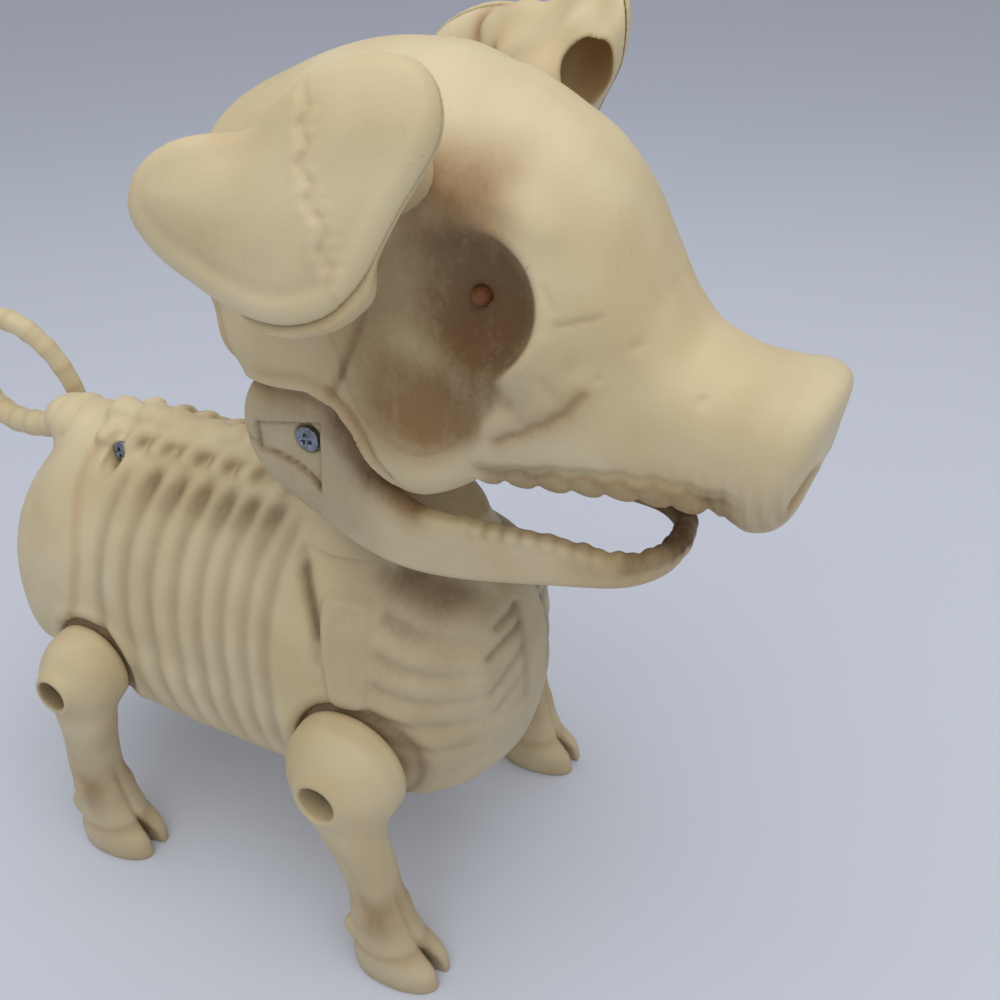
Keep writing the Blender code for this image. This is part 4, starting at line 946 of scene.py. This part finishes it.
SCAPULA = [(24.2, 101.6), (29.0, 103.8), (36.6, 102.6), (38.0, 92.0), (39.0, 80.0), (31.0, 78.5), (27.4, 86.0)]
SLOTS = [((5.2, 97.8), (11.6, 95.0), 1.0), ((5.6, 93.2), (15.6, 88.6), 1.0), ((6.4, 87.0), (16.0, 78.6), 0.6), ((6.6, 80.0), (15.0, 72.0), 0.35)]
TAIL_S, TAIL_Z, TAIL_RING, TAIL_R = -101.0, 122.0, 15.5, 3.8
TAIL_PATH = smooth(
    [(0, -64, 113.5), (0, -72, 112.6), (0, -81, 110.5), (0, -90, 107.6), (0, TAIL_S, TAIL_Z - TAIL_RING)]
    + [(0.25 * k, TAIL_S - TAIL_RING * math.sin(math.radians(30 * k)), TAIL_Z - TAIL_RING * math.cos(math.radians(30 * k))) for k in range(1, 6)]
    + [(2.2, TAIL_S, TAIL_Z + TAIL_RING), (3.6, TAIL_S + 7.6, TAIL_Z + 12.8), (5.8, TAIL_S + 12.6, TAIL_Z + 6.0), (7.8, TAIL_S + 14.8, TAIL_Z - 1.5), (9.2, TAIL_S + 15.4, TAIL_Z - 8.0)],
    3,
)


def make_body():
    h, lo, hi = 0.7, (-41.0, -94.0, 34.0), (1.0, 71.0, 129.0)
    X, S, Z = axes(lo, hi, h)
    a = -X
    base = lofted(X, S, Z, BODY, 2.1, 2.8, h)
    # rounded ends
    tall = np.where(Z > 80, 0.010, 0.0055) * (Z - 80.0)
    base = smax(base, (S - 67.2 + 0.015 * a * a + tall * (Z - 80.0)) / np.sqrt(1 + (0.03 * a) ** 2 + 4 * tall ** 2), 6.0)
    tall = np.where(Z > 74, 0.0078, 0.0020) * (Z - 74.0)
    base = smax(base, (-S - 89.6 + 0.0105 * a * a + tall * (Z - 74.0)) / np.sqrt(1 + (0.024 * a) ** 2 + 4 * tall ** 2), 6.0)
    d = base.copy()
    P = (a, S, Z)
    # ribs: rounded bands with gaps between them, deeper where they leave the spine
    gaps = np.zeros((1, S.shape[1], Z.shape[2]), FL)
    deep = np.zeros_like(gaps)
    for k, s0 in enumerate(RIB_GAPS):
        mid = s0 - 1.2 + 0.0022 * (Z - 92.0) ** 2
        gaps = np.maximum(gaps, bump(S - mid, 1.9))
        if -40 < s0 < 8:
            deep = np.maximum(deep, np.sqrt(bump(S - mid, 2.3) * bump(Z - 111.8, 2.6)))
    lean = line((S, Z), [(14.8, 108.0), (17.0, 105.6), (21.2, 99.8), (24.4, 93.6), (25.0, 88.0)])
    gaps = np.maximum(gaps, bump(lean, 1.6))
    side = ramp(a, 8, 15)
    reach = ramp(Z, 46, 62) * ramp(-Z, -116, -111)
    zone = ramp(S, -52, -44) * ramp(-S, -27, -24)
    d = d + (0.95 * gaps * reach + 1.1 * deep) * zone * side
    # smooth pelvis plate stands a little above the ribs
    hip = [(-56.5, 112), (-52.5, 103), (-50.2, 93), (-51.5, 82), (-55.0, 73)]
    hs = np.interp(Z, [q[1] for q in hip[::-1]], [q[0] for q in hip[::-1]])
    d = d + 0.9 * ramp(S, hs - 1.2, hs + 1.6) * ramp(Z, 66, 74) * ramp(a, 6, 12)
    d = d + 0.5 * bump(line((S, Z), [(-74.0, 104.0), (-70.0, 92.0), (-71.0, 80.0)]), 5.0) * side
    # shoulder blade plate
    blade = outline(S, Z, smooth(SCAPULA, 3, closed=True))
    d = d - 1.5 * ramp(-blade, -0.7, 1.3) * ramp(a, 14, 20)
    d = d - 0.8 * bump(line((S, Z), [(25.5, 102.0), (30.0, 103.4), (36.0, 102.4)]), 1.4) * ramp(a, 14, 20)
    d = d - 0.7 * bump(line((S, Z), [(29.5, 101), (31.5, 92), (33.5, 82)]), 2.2) * ramp(a, 14, 20)
    # chest ribs run forward and down to the breastbone
    slope = Z + 0.34 * (S - 38.0)
    chest = ramp(S, 37.8, 40.0) * ramp(-S, -63, -57)
    for k, w in enumerate((108.0, 100.2, 92.6, 85.4, 78.4, 71.4)):
        depth = (1.7, 1.3, 0.8, 0.75, 0.7, 0.6)[k]
        wide = (2.8, 2.2, 1.7, 1.7, 1.6, 1.6)[k]
        d = d + depth * bump(slope - w, wide) * chest * ramp(a, 5, 9)
    d = d - 0.4 * bump(a, 4.0) * ramp(S, 54, 60) * ramp(Z, 50, 70) * ramp(-Z, -104, -97)
    front = ramp(S, 50, 56)
    for u, v, much in SLOTS:
        d = d + 0.8 * much * bump(segment((a, Z), u, v)[0], 1.2) * front
    d = d + 0.4 * bump(line((a, Z), [(5.4, 98.0), (6.2, 86.0), (6.0, 72.0)]), 1.2) * front
    # spine: soft uneven knobs, two low lugs to each vertebra
    rod, _ = segment(P, (0.0, -58.0, 116.8), (0.0, 12.0, 116.4))
    d = smin(d, rod - 4.8, 3.0)
    for k in range(8):
        s0 = -57.0 + 9.6 * k + 0.9 * math.sin(2.3 * k)
        d = smin(d, ball(P, (0.0, s0, 120.0 + 0.6 * math.sin(1.7 * k)), (4.4, 3.6, 3.3)), 2.6)
        d = smin(d, ball(P, (7.8, s0 + 1.4, 116.8), (4.9, 3.3 + 0.4 * math.sin(2.9 * k), 2.6)), 2.4)
        d = smax(d, -ball(P, (11.0, s0 + 6.0, 117.9), (3.4, 1.6, 1.4)), 1.8)
    # the shoulders rise to a short neck, longer in front
    more = np.where(Z > 118.0, 118.0 - Z, np.where(Z > 111.0, 0.4 * (118.0 - Z), 2.8 - 2.2 * (111.0 - Z)))
    out = np.where(S > 24.0, 29.4 + 0.9 * more, 18.0 + 0.5 * more)
    wide = 19.6 + 0.7 * more
    throat = (((np.abs(a) / np.maximum(wide, 4)) ** 1.5 + (np.abs(S - 24.0) / np.maximum(out, 4)) ** 1.5) ** (1 / 1.5) - 1) * 16.0
    throat = smax(np.maximum(throat, 100.0 - Z), Z - 127.0, 3.0)
    d = smin(d, throat, 6.0)
    # leg seats with a moat round them
    for part, (s0, z0) in LEGS.items():
        ring = np.sqrt((S - s0) ** 2 + (Z - z0) ** 2)
        r0 = LEG_R[part]
        d = d - 0.7 * bump(ring - r0 - 3.8, 1.8) * ramp(a, 24, 30)
        d = smax(d, -np.maximum(ring - r0 - 0.6, 35.1 - a), 0.5)
        d = d + 0.45 * bump(ring - r0 - 0.5, 0.9) * ramp(a, 28, 33)
    # tail socket lump
    lump = ball(P, (0.0, -74.0, 112.6), (9.0, 12.5, 7.4))
    d = smin(d, lump, 5.0)
    for k in range(4):
        d = d + (0.45, 0.8, 0.6, 0.5)[k] * bump(S + 82.0 - 6.2 * k - 0.5 * (Z - 112.0) - 0.25 * a, 1.3) * ramp(-lump, -1.8, 0.2)
    # hollow
    room = np.maximum(base + 2.6, d + 2.0)
    for part, (s0, z0) in BODY_SCREWS.items():
        ring = np.sqrt((S - s0) ** 2 + (Z - z0) ** 2)
        room = np.maximum(room, 5.4 - ring)
    for part, (s0, z0) in LEGS.items():
        ring = np.sqrt((S - s0) ** 2 + (Z - z0) ** 2)
        room = np.maximum(room, np.minimum(5.0 - ring, a - 20))
        room = np.maximum(room, np.minimum(LEG_R[part] + 3.5 - ring, a - 33.0))
    d = np.maximum(d, -room)
    # neck hole, tail bed, battery bay, switch slot
    neck = np.sqrt(X * X + (S - 24.0) ** 2)
    d = np.maximum(d, np.minimum(9.5 - neck, Z - 100))
    bed = line((X, S, Z), [(0, -62.5, 113.8)] + TAIL_PATH[1:14])
    d = np.maximum(d, TAIL_R + 0.12 - bed)
    bay = np.maximum(np.maximum(a - 17.9, np.abs(S + 2.0) - 28.4), Z - 60.5)
    d = np.maximum(d, -bay)
    d = np.maximum(d, -np.maximum(np.maximum(a - 2.2, np.abs(S + 39.0) - 4.0), Z - 47.0))
    for part, (s0, z0) in LEGS.items():
        d = np.maximum(d, np.minimum(1.8 - np.sqrt((S - s0) ** 2 + (Z - z0) ** 2), a - 18))
    for which in (-1, 1):
        f = d
        if which < 0:
            for part, (s0, z0) in BODY_SCREWS.items():
                ring = np.sqrt((S - s0) ** 2 + (Z - z0) ** 2)
                f = smax(f, np.minimum(3.3 - ring, a - SCREW_SEAT[part]), 0.5)
                f = np.maximum(f, 1.85 - ring)
        whole = f
        f = np.maximum(f, X + 0.03)
        p, quads = skin(f, lo, h)
        p = flush(p, whole, lo, h, -0.012)
        depth = -sample(base, p, lo, h)
        crease = hollows(f, p, lo, h, 3)
        x, s, z = p.T
        q = np.abs(x)
        st = StainAndShade(len(p))
        # brown wash and painted shade laid into the creases
        st.lay(BROWN, np.clip(crease - 0.12, 0, 1) * 1.0)
        # painted shade in the rib gaps, the pits beside the spine and the groove before the shoulder blade
        g = sample(np.broadcast_to(gaps * reach * zone, d.shape), p, lo, h) * ramp(q, 8, 15)
        st.lay(GREY, 0.42 * g)
        t = sample(np.broadcast_to(deep * zone, d.shape), p, lo, h) * ramp(q, 8, 15)
        st.lay(BROWN, 0.62 * t)
        st.lay(BROWN, 0.75 * bump(line((s, z), [(17.0, 105.6), (21.2, 99.8), (24.4, 93.6)]), 1.5) * ramp(q, 12, 18))
        # painted shade in the chest rib grooves and the breastbone slots
        cw = z + 0.34 * (s - 38.0)
        cm = ramp(s, 37.5, 40.5) * ramp(-s, -60, -52) * ramp(q, 5, 10)
        for k, w in enumerate((108.0, 100.2, 92.6, 85.4, 78.4, 71.4)):
            st.lay(BROWN, (0.46, 0.46, 0.28, 0.22, 0.2, 0.16)[k] * bump(cw - w, (2.4, 2.0, 1.5, 1.5, 1.4, 1.4)[k]) * cm * (1 if k == 0 else ramp(-s, -60, -44)))
        for u, v, much in SLOTS:
            st.lay(lin(108, 98, 70), 0.6 * much * bump(segment((q, z), u, v)[0], 1.1) * ramp(s, 50, 56))
        st.lay(lin(108, 98, 70), 0.35 * bump(line((q, z), [(5.4, 98.0), (6.2, 86.0), (6.0, 72.0)]), 1.3) * ramp(s, 50, 56))
        # painted shadow under the jaw across the top of the chest
        st.lay(BROWN, 0.42 * bump(cw - 106.6, 3.6) * ramp(s, 32, 37) * ramp(-s, -58, -50) * ramp(q, 5, 10))
        # painted shade under the head around the neck
        st.lay(BROWN, 0.26 * ramp(z, 109, 118) * ramp(s, 20, 32))
        st.lay(BROWN, 0.3 * ramp(z, 112, 120) * bump(s - 36.0, 9.0) * ramp(q, 6, 14))
        for part, (s0, z0) in LEGS.items():
            ring = np.sqrt((s - s0) ** 2 + (z - z0) ** 2)
            r0 = LEG_R[part]
            # painted shadow in the gap round each leg's head
            st.lay(BROWN, 0.62 * bump(ring - r0 - 0.3, 1.2) * ramp(q, 26, 31))
            st.lay(BROWN, 0.5 * ramp(-ring, -r0 - 1.0, -r0 + 0.4) * ramp(q, 30, 34))
        st.lay(TAN, 0.4 * bump(s - hs_at(z), 1.6) * ramp(z, 66, 74) * ramp(q, 10, 14))
        # painted shade between the lugs beside the spine
        st.lay(BROWN, 0.55 * bump(z - 118.4, 2.0) * bump(q - 9.5, 3.0) * np.abs(np.sin((s + 57.0) * math.pi / 9.6 - 0.3)) * ramp(s, -52, -44))
        # painted shade on the inside faces of the shell
        st.lay(BROWN, 0.7 * ramp(depth, 3.0, 5.0))
        # painted shade: tanner toward the underside
        st.lay(TAN, 0.25 * ramp(-z, -56, -42))
        # painted shade: grey below the back, heavier on the shoulder and chest under the head
        st.lay(GREY, (0.11 + 0.28 * ramp(s, 20, 34) * ramp(z, 40, 60)) * ramp(-z, -117, -110))
        where = p if which < 0 else mirrored(p)
        piece(f"body_{SIDE[which]}", world(where), quads[:, ::-1] if which < 0 else quads, BONE, "torso", [f"body_{SIDE[which]}_shell"], st)


def hs_at(z):
    return np.interp(z, [73, 82, 93, 103, 112], [-55.0, -51.5, -50.2, -52.5, -56.5])


make_body()


# ----------------------------------------------------------------------- tail
def make_tail():
    h, lo, hi = 0.5, (-8.0, -123.0, 99.0), (16.0, -58.0, 145.0)
    X, S, Z = axes(lo, hi, h)
    best, along, done = None, None, 0.0
    for u, v in zip(TAIL_PATH, TAIL_PATH[1:]):
        q, t = segment((X, S, Z), u, v)
        size = math.dist(u, v)
        if best is None:
            best, along = q, done + size * t
        else:
            nearer = q < best
            best = np.where(nearer, q, best)
            along = np.where(nearer, done + size * t, along)
        done += size
    radius = TAIL_R * (1 - 0.34 * (along / done) ** 2)
    # low rings like small tail bones, and a flattened seam line
    radius = radius + 0.13 * np.cos(along * 2 * math.pi / 6.4) * ramp(along, 12, 22) * ramp(-along, -done + 2, -done + 14)
    d = best - radius
    d = d + 0.25 * bump(X - along / done * 4.0, 0.5) * ramp(along, 20, 26)
    p, quads = skin(d, lo, h)
    st = StainAndShade(len(p))
    # brown wash and painted shade laid into the creases
    st.lay(BROWN, np.clip(hollows(d, p, lo, h, 3) - 0.1, 0, 1) * 0.8)
    run = sample(along, p, lo, h)
    st.lay(TAN, 0.22 * bump(np.sin(run * math.pi / 6.4), 0.4) * ramp(run, 14, 22))
    piece("tail_curl", world(p), quads[:, ::-1], BONE, "torso", ["tail"], st)


make_tail()

# ----------------------------------------------------------------------- legs
SHANK = {
    "front": [(64, 0.8, 5.2, 8.6), (48, 3.2, 7.0, 8.2), (38, 6.0, 6.5, 7.0), (28, 7.8, 6.2, 6.7), (19, 9.0, 6.9, 7.5), (11, 10.5, 8.0, 9.2), (4.5, 12.4, 8.6, 12.2), (0, 13.0, 8.4, 12.6)],
    "rear": [(66, 0.0, 5.0, 8.2), (50, 0.3, 6.9, 8.0), (39, -1.2, 6.4, 7.2), (28, -2.6, 6.4, 7.4), (19, -1.8, 7.0, 8.0), (11, -0.8, 8.0, 9.4), (4.5, 0.2, 8.6, 12.2), (0, 0.6, 8.4, 12.6)],
}


def make_legs():
    for part, (s0, z0) in LEGS.items():
        h, lo, hi = 0.6, (-56.0, s0 - 19.0, -1.2), (-32.0, s0 + 30.0, z0 + 18.0)
        X, S, Z = axes(lo, hi, h)
        a = -X
        rows = np.array(SHANK[part][::-1], float)
        ahead, rx, rs = (curve(rows[:, 0], rows[:, k], Z) for k in (1, 2, 3))
        cx = 42.0 + 2.0 * Z / 60.0
        cs = s0 + ahead
        g = ((np.abs(a - cx) / rx) ** 2.3 + (np.abs(S - cs) / rs) ** 2.3) ** (1 / 2.3) - 1
        shank = smax(steady(g.astype(FL), h), (Z - (z0 + 1)) * 0.8, 5.0)
        ring = np.sqrt((S - s0) ** 2 + (Z - z0) ** 2)
        r0 = LEG_R[part]
        R = curve([35.9, 36.0, 37.0, 42.0, 46.5, 50.0, 52.6, 53.6], [r0 - 1.3, r0 - 1.0, r0, r0 - 0.4, r0 * 0.8, r0 * 0.555, 5.0, 1.0], a)
        slope = np.gradient(R[:, 0, 0], -h).reshape(-1, 1, 1)
        head = (ring - R) / np.sqrt(1 + np.minimum(slope ** 2, 6.0))
        head = np.maximum(head, np.maximum(36.0 - a, a - 53.6))
        d = smin(head, shank, 4.5)
        d = np.maximum(d, np.where(ring < r0 + 1.5, 35.8 - a, -99.0))
        # bones of the foot: knuckle, side grooves, claws behind, split hoof
        d = d - 0.9 * bump(np.sqrt((Z - 21.0) ** 2 + (S - cs + 0.5) ** 2 * 0.15), 3.4) * 0.8
        d = d + 0.28 * bump(Z - 10.2, 1.1) * ramp(Z, 5, 8)
        d = d + 0.8 * bump(a - cx, 1.0) * ramp(S - cs, 0.5, 4.0) * ramp(-Z, -34, -26)
        d = d + 0.6 * bump(line((S - ahead, Z), [(s0 - 1.5, 44.0), (s0 - 0.5, 26.0)]), 1.5)
        for w in (-4.2, 4.2):
            claw = ball((a - cx - w, S - cs, Z), (0.0, -7.6, 14.0), (2.2, 2.2, 3.4))
            d = smin(d, claw, 2.2)
        toe = rows[0]
        wedge = np.abs(a - 42.0) - np.interp(Z, [0, 12], [2.2, 0.5]) * ramp(S - s0 - toe[1], 3.0, 12.0)
        d = smax(d, -np.maximum(np.maximum(wedge, s0 + toe[1] + 4.0 - S), Z - 12.5), 0.8)
        # the two toes are round in front
        d = d - 0.8 * bump(np.abs(a - 42.0) - 4.4, 2.6) * ramp(S - cs, 4, 9) * ramp(-Z, -9, -5)
        d = smax(d, -np.maximum(ring - (4.9 if part == "front" else 4.2), 45.0 - a), 0.9)
        d = np.maximum(d, 1.8 - ring)
        d = smax(d, -Z, 0.8)
        d = np.maximum(d, -np.maximum(Z - 0.0, -99.0))
        p, quads = skin(d, lo, h)
        x, s, z = p.T
        q = np.abs(x)
        crease = hollows(d, p, lo, h, 3)
        st = StainAndShade(len(p))
        # brown wash and painted shade laid into the creases
        st.lay(BROWN, np.clip(crease - 0.1, 0, 1) * 1.1)
        rr = np.hypot(s - s0, z - z0)
        # painted shade in the screw hole
        st.lay(BROWN, 0.9 * ramp(-rr, -5.0, -3.6) * ramp(q, 40, 44))
        # painted shade where the head's rim meets the body
        st.lay(TAN, 0.45 * bump(rr - r0 + 0.3, 1.4) * ramp(-q, -39, -36.6) * ramp(z, z0 - 6, z0))
        mid = s0 + curve(rows[:, 0], rows[:, 1], z)
        st.lay(TAN, 0.6 * bump(z - 24, 8) * bump(s - mid - 2.5, 5.0))
        st.lay(BROWN, 0.35 * bump(z - 25, 5) * bump(s - mid - 3.5, 3.0))
        st.lay(TAN, 0.35 * bump(z - 10.2, 1.6))
        st.lay(BROWN, 0.8 * bump(q - 42.0, 1.6) * ramp(s - s0 - toe[1], 4.0, 7.0) * ramp(-z, -12, -8))
        # painted shade: tan under the hoof and grey growing toward the bottom of the leg
        st.lay(TAN, 0.35 * ramp(-z, -5, 0))
        st.lay(GREY, 0.14 + 0.14 * ramp(-z, -56, -40))
        for side in (-1, 1):
            where = p if side < 0 else mirrored(p)
            piece(f"leg_{part}_{SIDE[side]}_bone", world(where), quads[:, ::-1] if side < 0 else quads, BONE,
                  f"leg_{part}_{SIDE[side]}", [f"leg_{part}_{SIDE[side]}"], st)


make_legs()


# ----------------------------------------------------------------------- neck
def make_neck():
    h, lo, hi = 0.6, (-13.5, 10.0, 103.0), (13.5, 38.0, 160.0)
    X, S, Z = axes(lo, hi, h)
    r = np.sqrt(X * X + (S - 24.0) ** 2)
    turn = np.arctan2(X, S - 24.0)
    step = (Z - 113.0) / 7.4
    wave = np.cos(step * 2 * math.pi)
    shape = 8.1 + 0.9 * wave * ramp(Z, 112, 115) * ramp(-Z, -150, -146)
    shape = shape + 1.1 * np.maximum(np.cos(3 * turn + math.pi), 0) ** 2 * ramp(wave, 0.0, 0.8) * ramp(Z, 112.6, 116) * ramp(-Z, -148, -144)
    shape = np.where(Z < 112.4, 9.0, shape)
    d = r - shape
    d = np.maximum(d, Z - 150.1)
    d = np.minimum(d, np.maximum(r - 12.0, np.abs(Z - 110.9) - 1.5))
    d = np.minimum(d, np.maximum(np.maximum(r - np.where((Z > 153.8) & (Z < 155.7), 5.0, 6.0), Z - 158.4), 140 - Z))
    d = np.maximum(d, 104.0 - Z)
    d = np.maximum(d, 3.5 - r)
    p, quads = skin(d, lo, h)
    st = StainAndShade(len(p))
    # brown wash and painted shade laid into the creases
    st.lay(BROWN, np.clip(hollows(d, p, lo, h, 3) - 0.08, 0, 1) * 1.3)
    # painted shade under the skull, browner toward the top
    st.lay(BROWN, 0.45 * ramp(p[:, 2], 128, 146))
    piece("neck_bones", world(p), quads[:, ::-1], BONE, "torso", ["neck_post"], st)


make_neck()


# --------------------------------------------------------------------- screws
def make_screw(name, body, place, direction, length, turn=0.4):
    """Cross-head pan screw with a coarse thread."""
    h = 0.2
    lo, hi = (-3.6, -3.6, -length - 0.8), (3.6, 3.6, 2.9)
    X, Y, Z = axes(lo, hi, h)
    r = np.sqrt(X * X + Y * Y)
    dome = np.sqrt(r * r + (Z + 2.9) ** 2) - 5.1
    head = smax(np.maximum(dome, r - 3.0), -Z, 0.25)
    c, s = math.cos(turn), math.sin(turn)
    U, V = c * X + s * Y, -s * X + c * Y
    depth = Z - 0.55 - 0.55 * r
    arm = np.minimum(np.abs(U), np.abs(V))
    cross = np.maximum(np.maximum(arm - 0.42 - 0.1 * (Z - 1), r - 1.75), -depth)
    head = smax(head, -cross, 0.2)
    angle = np.arctan2(Y, X) / (2 * math.pi)
    pitch = 1.25
    phase = np.abs(((Z / pitch - angle) % 1.0) - 0.5) * 2
    core = 1.12 + 0.38 * ramp(phase, 0.55, 1.0) * ramp(-Z, 1.0, 2.0)
    core = core * np.clip((Z + length) / 2.2, 0.05, 1.0) ** 0.6
    shank = np.maximum(np.maximum((r - core) * 0.8, -length - Z), Z - 0.2)
    d = np.minimum(head, shank)
    p, quads = skin(d, lo, h)
    axis = Vector(direction).normalized()
    side = axis.orthogonal().normalized()
    other = axis.cross(side)
    basis = np.array([tuple(side), tuple(other), tuple(axis)])
    verts = world(np.array(place) + p @ basis)
    piece(name + "_turned", verts, quads[:, ::-1], ZINC, body, [name])


for side in (-1, 1):
    make_screw(f"jaw_screw_{SIDE[side]}", "head", (side * 24.9, 24.0, 143.4), (side, 0, 0), 12.0, 0.9)
for part, (s0, z0) in LEGS.items():
    for side in (-1, 1):
        make_screw(f"leg_screw_{part}_{SIDE[side]}", "torso", (side * 46.3, s0, z0), (side, 0, 0), 22.0, 0.3)
for part, (s0, z0) in BODY_SCREWS.items():
    make_screw(f"body_screw_{part}", "torso", (-SCREW_SEAT[part] - 0.3, s0, z0), (-1, 0, 0), 17.0, 0.6)
make_screw("battery_cover_screw", "torso", (0.0, 22.0, 39.5), (0, 0, -1), 10.0, 0.2)

# ---------------------------------------------------------------- eye beads
for side in (-1, 1):
    tip = 22.4 - 1.9
    profile = [(0.0, 1.9)] + [(1.9 * math.sin(w), 1.9 * math.cos(w)) for w in np.linspace(0.15, math.pi / 2, 9)]
    profile += [(1.9, -1.5), (1.9, -4.4), (2.0, -4.55), (2.5, -4.6), (2.6, -4.75), (2.6, -5.65), (2.5, -5.8), (0.0, -5.8)]
    v, q = lathe(profile, (side * tip, 64.0, 180.7), (side, 0, 0))
    piece(f"eye_bead_{SIDE[side]}", world(v), q[:, ::-1], LENS, "head", [f"eye_led_{SIDE[side]}"])


# -------------------------------------------------------------- battery cover
def make_cover():
    h, lo, hi = 0.5, (-18.5, -31.0, 36.0), (18.5, 27.0, 42.0)
    X, S, Z = axes(lo, hi, h)
    r = 1.0
    qx, qy, qz = np.abs(X) - 17.5 + r, np.abs(S + 2.0) - 28.0 + r, np.abs(Z - 39.1) - 1.5 + r
    d = np.sqrt(np.maximum(qx, 0) ** 2 + np.maximum(qy, 0) ** 2 + np.maximum(qz, 0) ** 2) + np.minimum(np.maximum(np.maximum(qx, qy), qz), 0) - r
    # finger ridges at the back end and a sunk border
    d = d + 0.45 * bump(((S + 22.0) % 3.0) - 1.5, 0.7) * ramp(-np.abs(S + 20.0), -7.0, -6.0) * ramp(-np.abs(X), -11, -9) * ramp(-Z, -39.0, -38.4)
    d = d + 0.3 * bump(np.maximum(np.abs(X) - 14.6, np.abs(S + 2) - 25.0), 0.5) * ramp(-Z, -39.0, -38.4)
    ring = np.sqrt(X * X + (S - 22.0) ** 2)
    d = smax(d, -np.maximum(ring - 3.4, Z - 39.8), 0.3)
    d = np.maximum(d, 1.85 - ring)
    p, quads = skin(d, lo, h)
    st = StainAndShade(len(p))
    # brown wash and painted shade laid into the creases
    st.lay(BROWN, np.clip(hollows(d, p, lo, h, 3) - 0.06, 0, 1) * 0.9)
    piece("battery_lid", world(p), quads[:, ::-1], BONE, "torso", ["battery_cover"], st)


make_cover()

# ------------------------------------------------------- CAD nodes that stay
KEPT = {
    "skull_base": BONE_PLAIN, "neck_clip": ZINC, "battery_tray": BLACK, "battery_cell_right": CAN, "battery_cell_left": CAN,
    "switch_body": BLACK, "switch_knob": BLACK, "battery_lead": RED, "eye_lead_right": RED, "eye_lead_left": DARK,
}
for part in LEGS:
    for side in (-1, 1):
        KEPT[f"leg_washer_{part}_{SIDE[side]}"] = ZINC
for node, mat in KEPT.items():
    obj = frame["nodes"][node]
    obj.data.materials.clear()
    obj.data.materials.append(mat)

# --------------------------------------------------------------------- camera
AZ, EL, ROLL = math.radians(62.4), math.radians(32.4), math.radians(-0.9)
back = np.array([-math.sin(AZ) * math.cos(EL), math.cos(AZ) * math.cos(EL), math.sin(EL)])
fwd = -back
right = -np.cross(fwd, [0, 0, 1.0])
right /= np.linalg.norm(right)
up = np.array([0, 0, 1.0]) - fwd * fwd[2]
up /= np.linalg.norm(up)
right, up = math.cos(ROLL) * right + math.sin(ROLL) * up, -math.sin(ROLL) * right + math.cos(ROLL) * up
flip = np.array([1.0, -1.0, 1.0])
R, U, B = right * flip, up * flip, back * flip
eye = np.array([-192.6, ORIGIN_S - 157.4, 260.2]) * MM
view = bpy.data.cameras.new("camera")
view.sensor_width = 36.0
view.lens = 36.0 * 1.1206
view.clip_start = 0.01
camera = bpy.data.objects.new("camera", view)
camera.matrix_world = Matrix(((R[0], U[0], B[0], eye[0]), (R[1], U[1], B[1], eye[1]), (R[2], U[2], B[2], eye[2]), (0, 0, 0, 1)))
bpy.context.scene.collection.objects.link(camera)
bpy.context.scene.camera = camera


# ----------------------------------------------------------- floor and light
def make_floor():
    """A wide pale sheet, with painted shade making it darker far behind the figure."""
    ahead = np.array([-B[0], -B[1]])
    ahead /= np.linalg.norm(ahead)
    across = np.array([-ahead[1], ahead[0]])
    verts, faces = [], []
    for t in np.linspace(-18.0, 18.0, 19):
        for w in np.linspace(-18.0, 18.0, 19):
            g = eye[:2] + ahead * t + across * w
            verts.append((float(g[0]), float(g[1]), 0.0))
    for i in range(18):
        for k in range(18):
            a = i * 19 + k
            faces.append((a, a + 1, a + 20, a + 19))
    mesh = bpy.data.meshes.new("floor")
    mesh.from_pydata(verts, [], faces)
    obj = bpy.data.objects.new("floor", mesh)
    made, nodes, links, bsdf = shader("floor_sheet")
    coords = nodes.new("ShaderNodeTexCoord").outputs["Object"]
    away = nodes.new("ShaderNodeVectorMath")
    away.operation = "DOT_PRODUCT"
    links.new(coords, away.inputs[0])
    away.inputs[1].default_value = (float(ahead[0]), float(ahead[1]), 0.0)
    start = float(eye[:2] @ ahead)
    near = nodes.new("ShaderNodeMapRange")
    near.interpolation_type = "SMOOTHSTEP"
    near.inputs["From Min"].default_value = start + 0.40
    near.inputs["From Max"].default_value = start + 1.10
    links.new(away.outputs["Value"], near.inputs["Value"])
    grain = noise(nodes, links, coords, 14.0, 2.0)
    pale = blend(nodes, links, grain, lin(212, 219, 234), lin(209, 216, 231))
    # painted shade: the sheet's colour darkens with distance from the camera
    links.new(blend(nodes, links, near.outputs["Result"], pale, lin(202, 209, 226)), bsdf.inputs["Base Color"])
    bsdf.inputs["Roughness"].default_value = 0.75
    mesh.materials.append(made)
    bpy.context.scene.collection.objects.link(obj)


make_floor()


def lamp(name, place, target, size, power, colour):
    data = bpy.data.lights.new(name, "AREA")
    data.shape = "RECTANGLE"
    data.size, data.size_y = size
    data.energy = power
    data.color = colour
    obj = bpy.data.objects.new(name, data)
    obj.location = place
    obj.rotation_euler = (Vector(target) - Vector(place)).to_track_quat("-Z", "Y").to_euler()
    bpy.context.scene.collection.objects.link(obj)


lamp("top", (-0.16, -0.14, 0.95), (0.0, -0.03, 0.1), (1.1, 1.1), 5.3, (1.0, 0.98, 0.95))
lamp("front", (-0.75, -0.75, 0.75), (0.0, 0.0, 0.12), (0.9, 0.9), 0.9, (1.0, 0.98, 0.95))
sky = bpy.data.worlds.new("studio")
sky.use_nodes = True
sky.node_tree.nodes["Background"].inputs["Color"].default_value = (0.85, 0.85, 0.86, 1.0)
sky.node_tree.nodes["Background"].inputs["Strength"].default_value = 0.52
bpy.context.scene.world = sky
bpy.context.scene.view_settings.view_transform = "Standard"
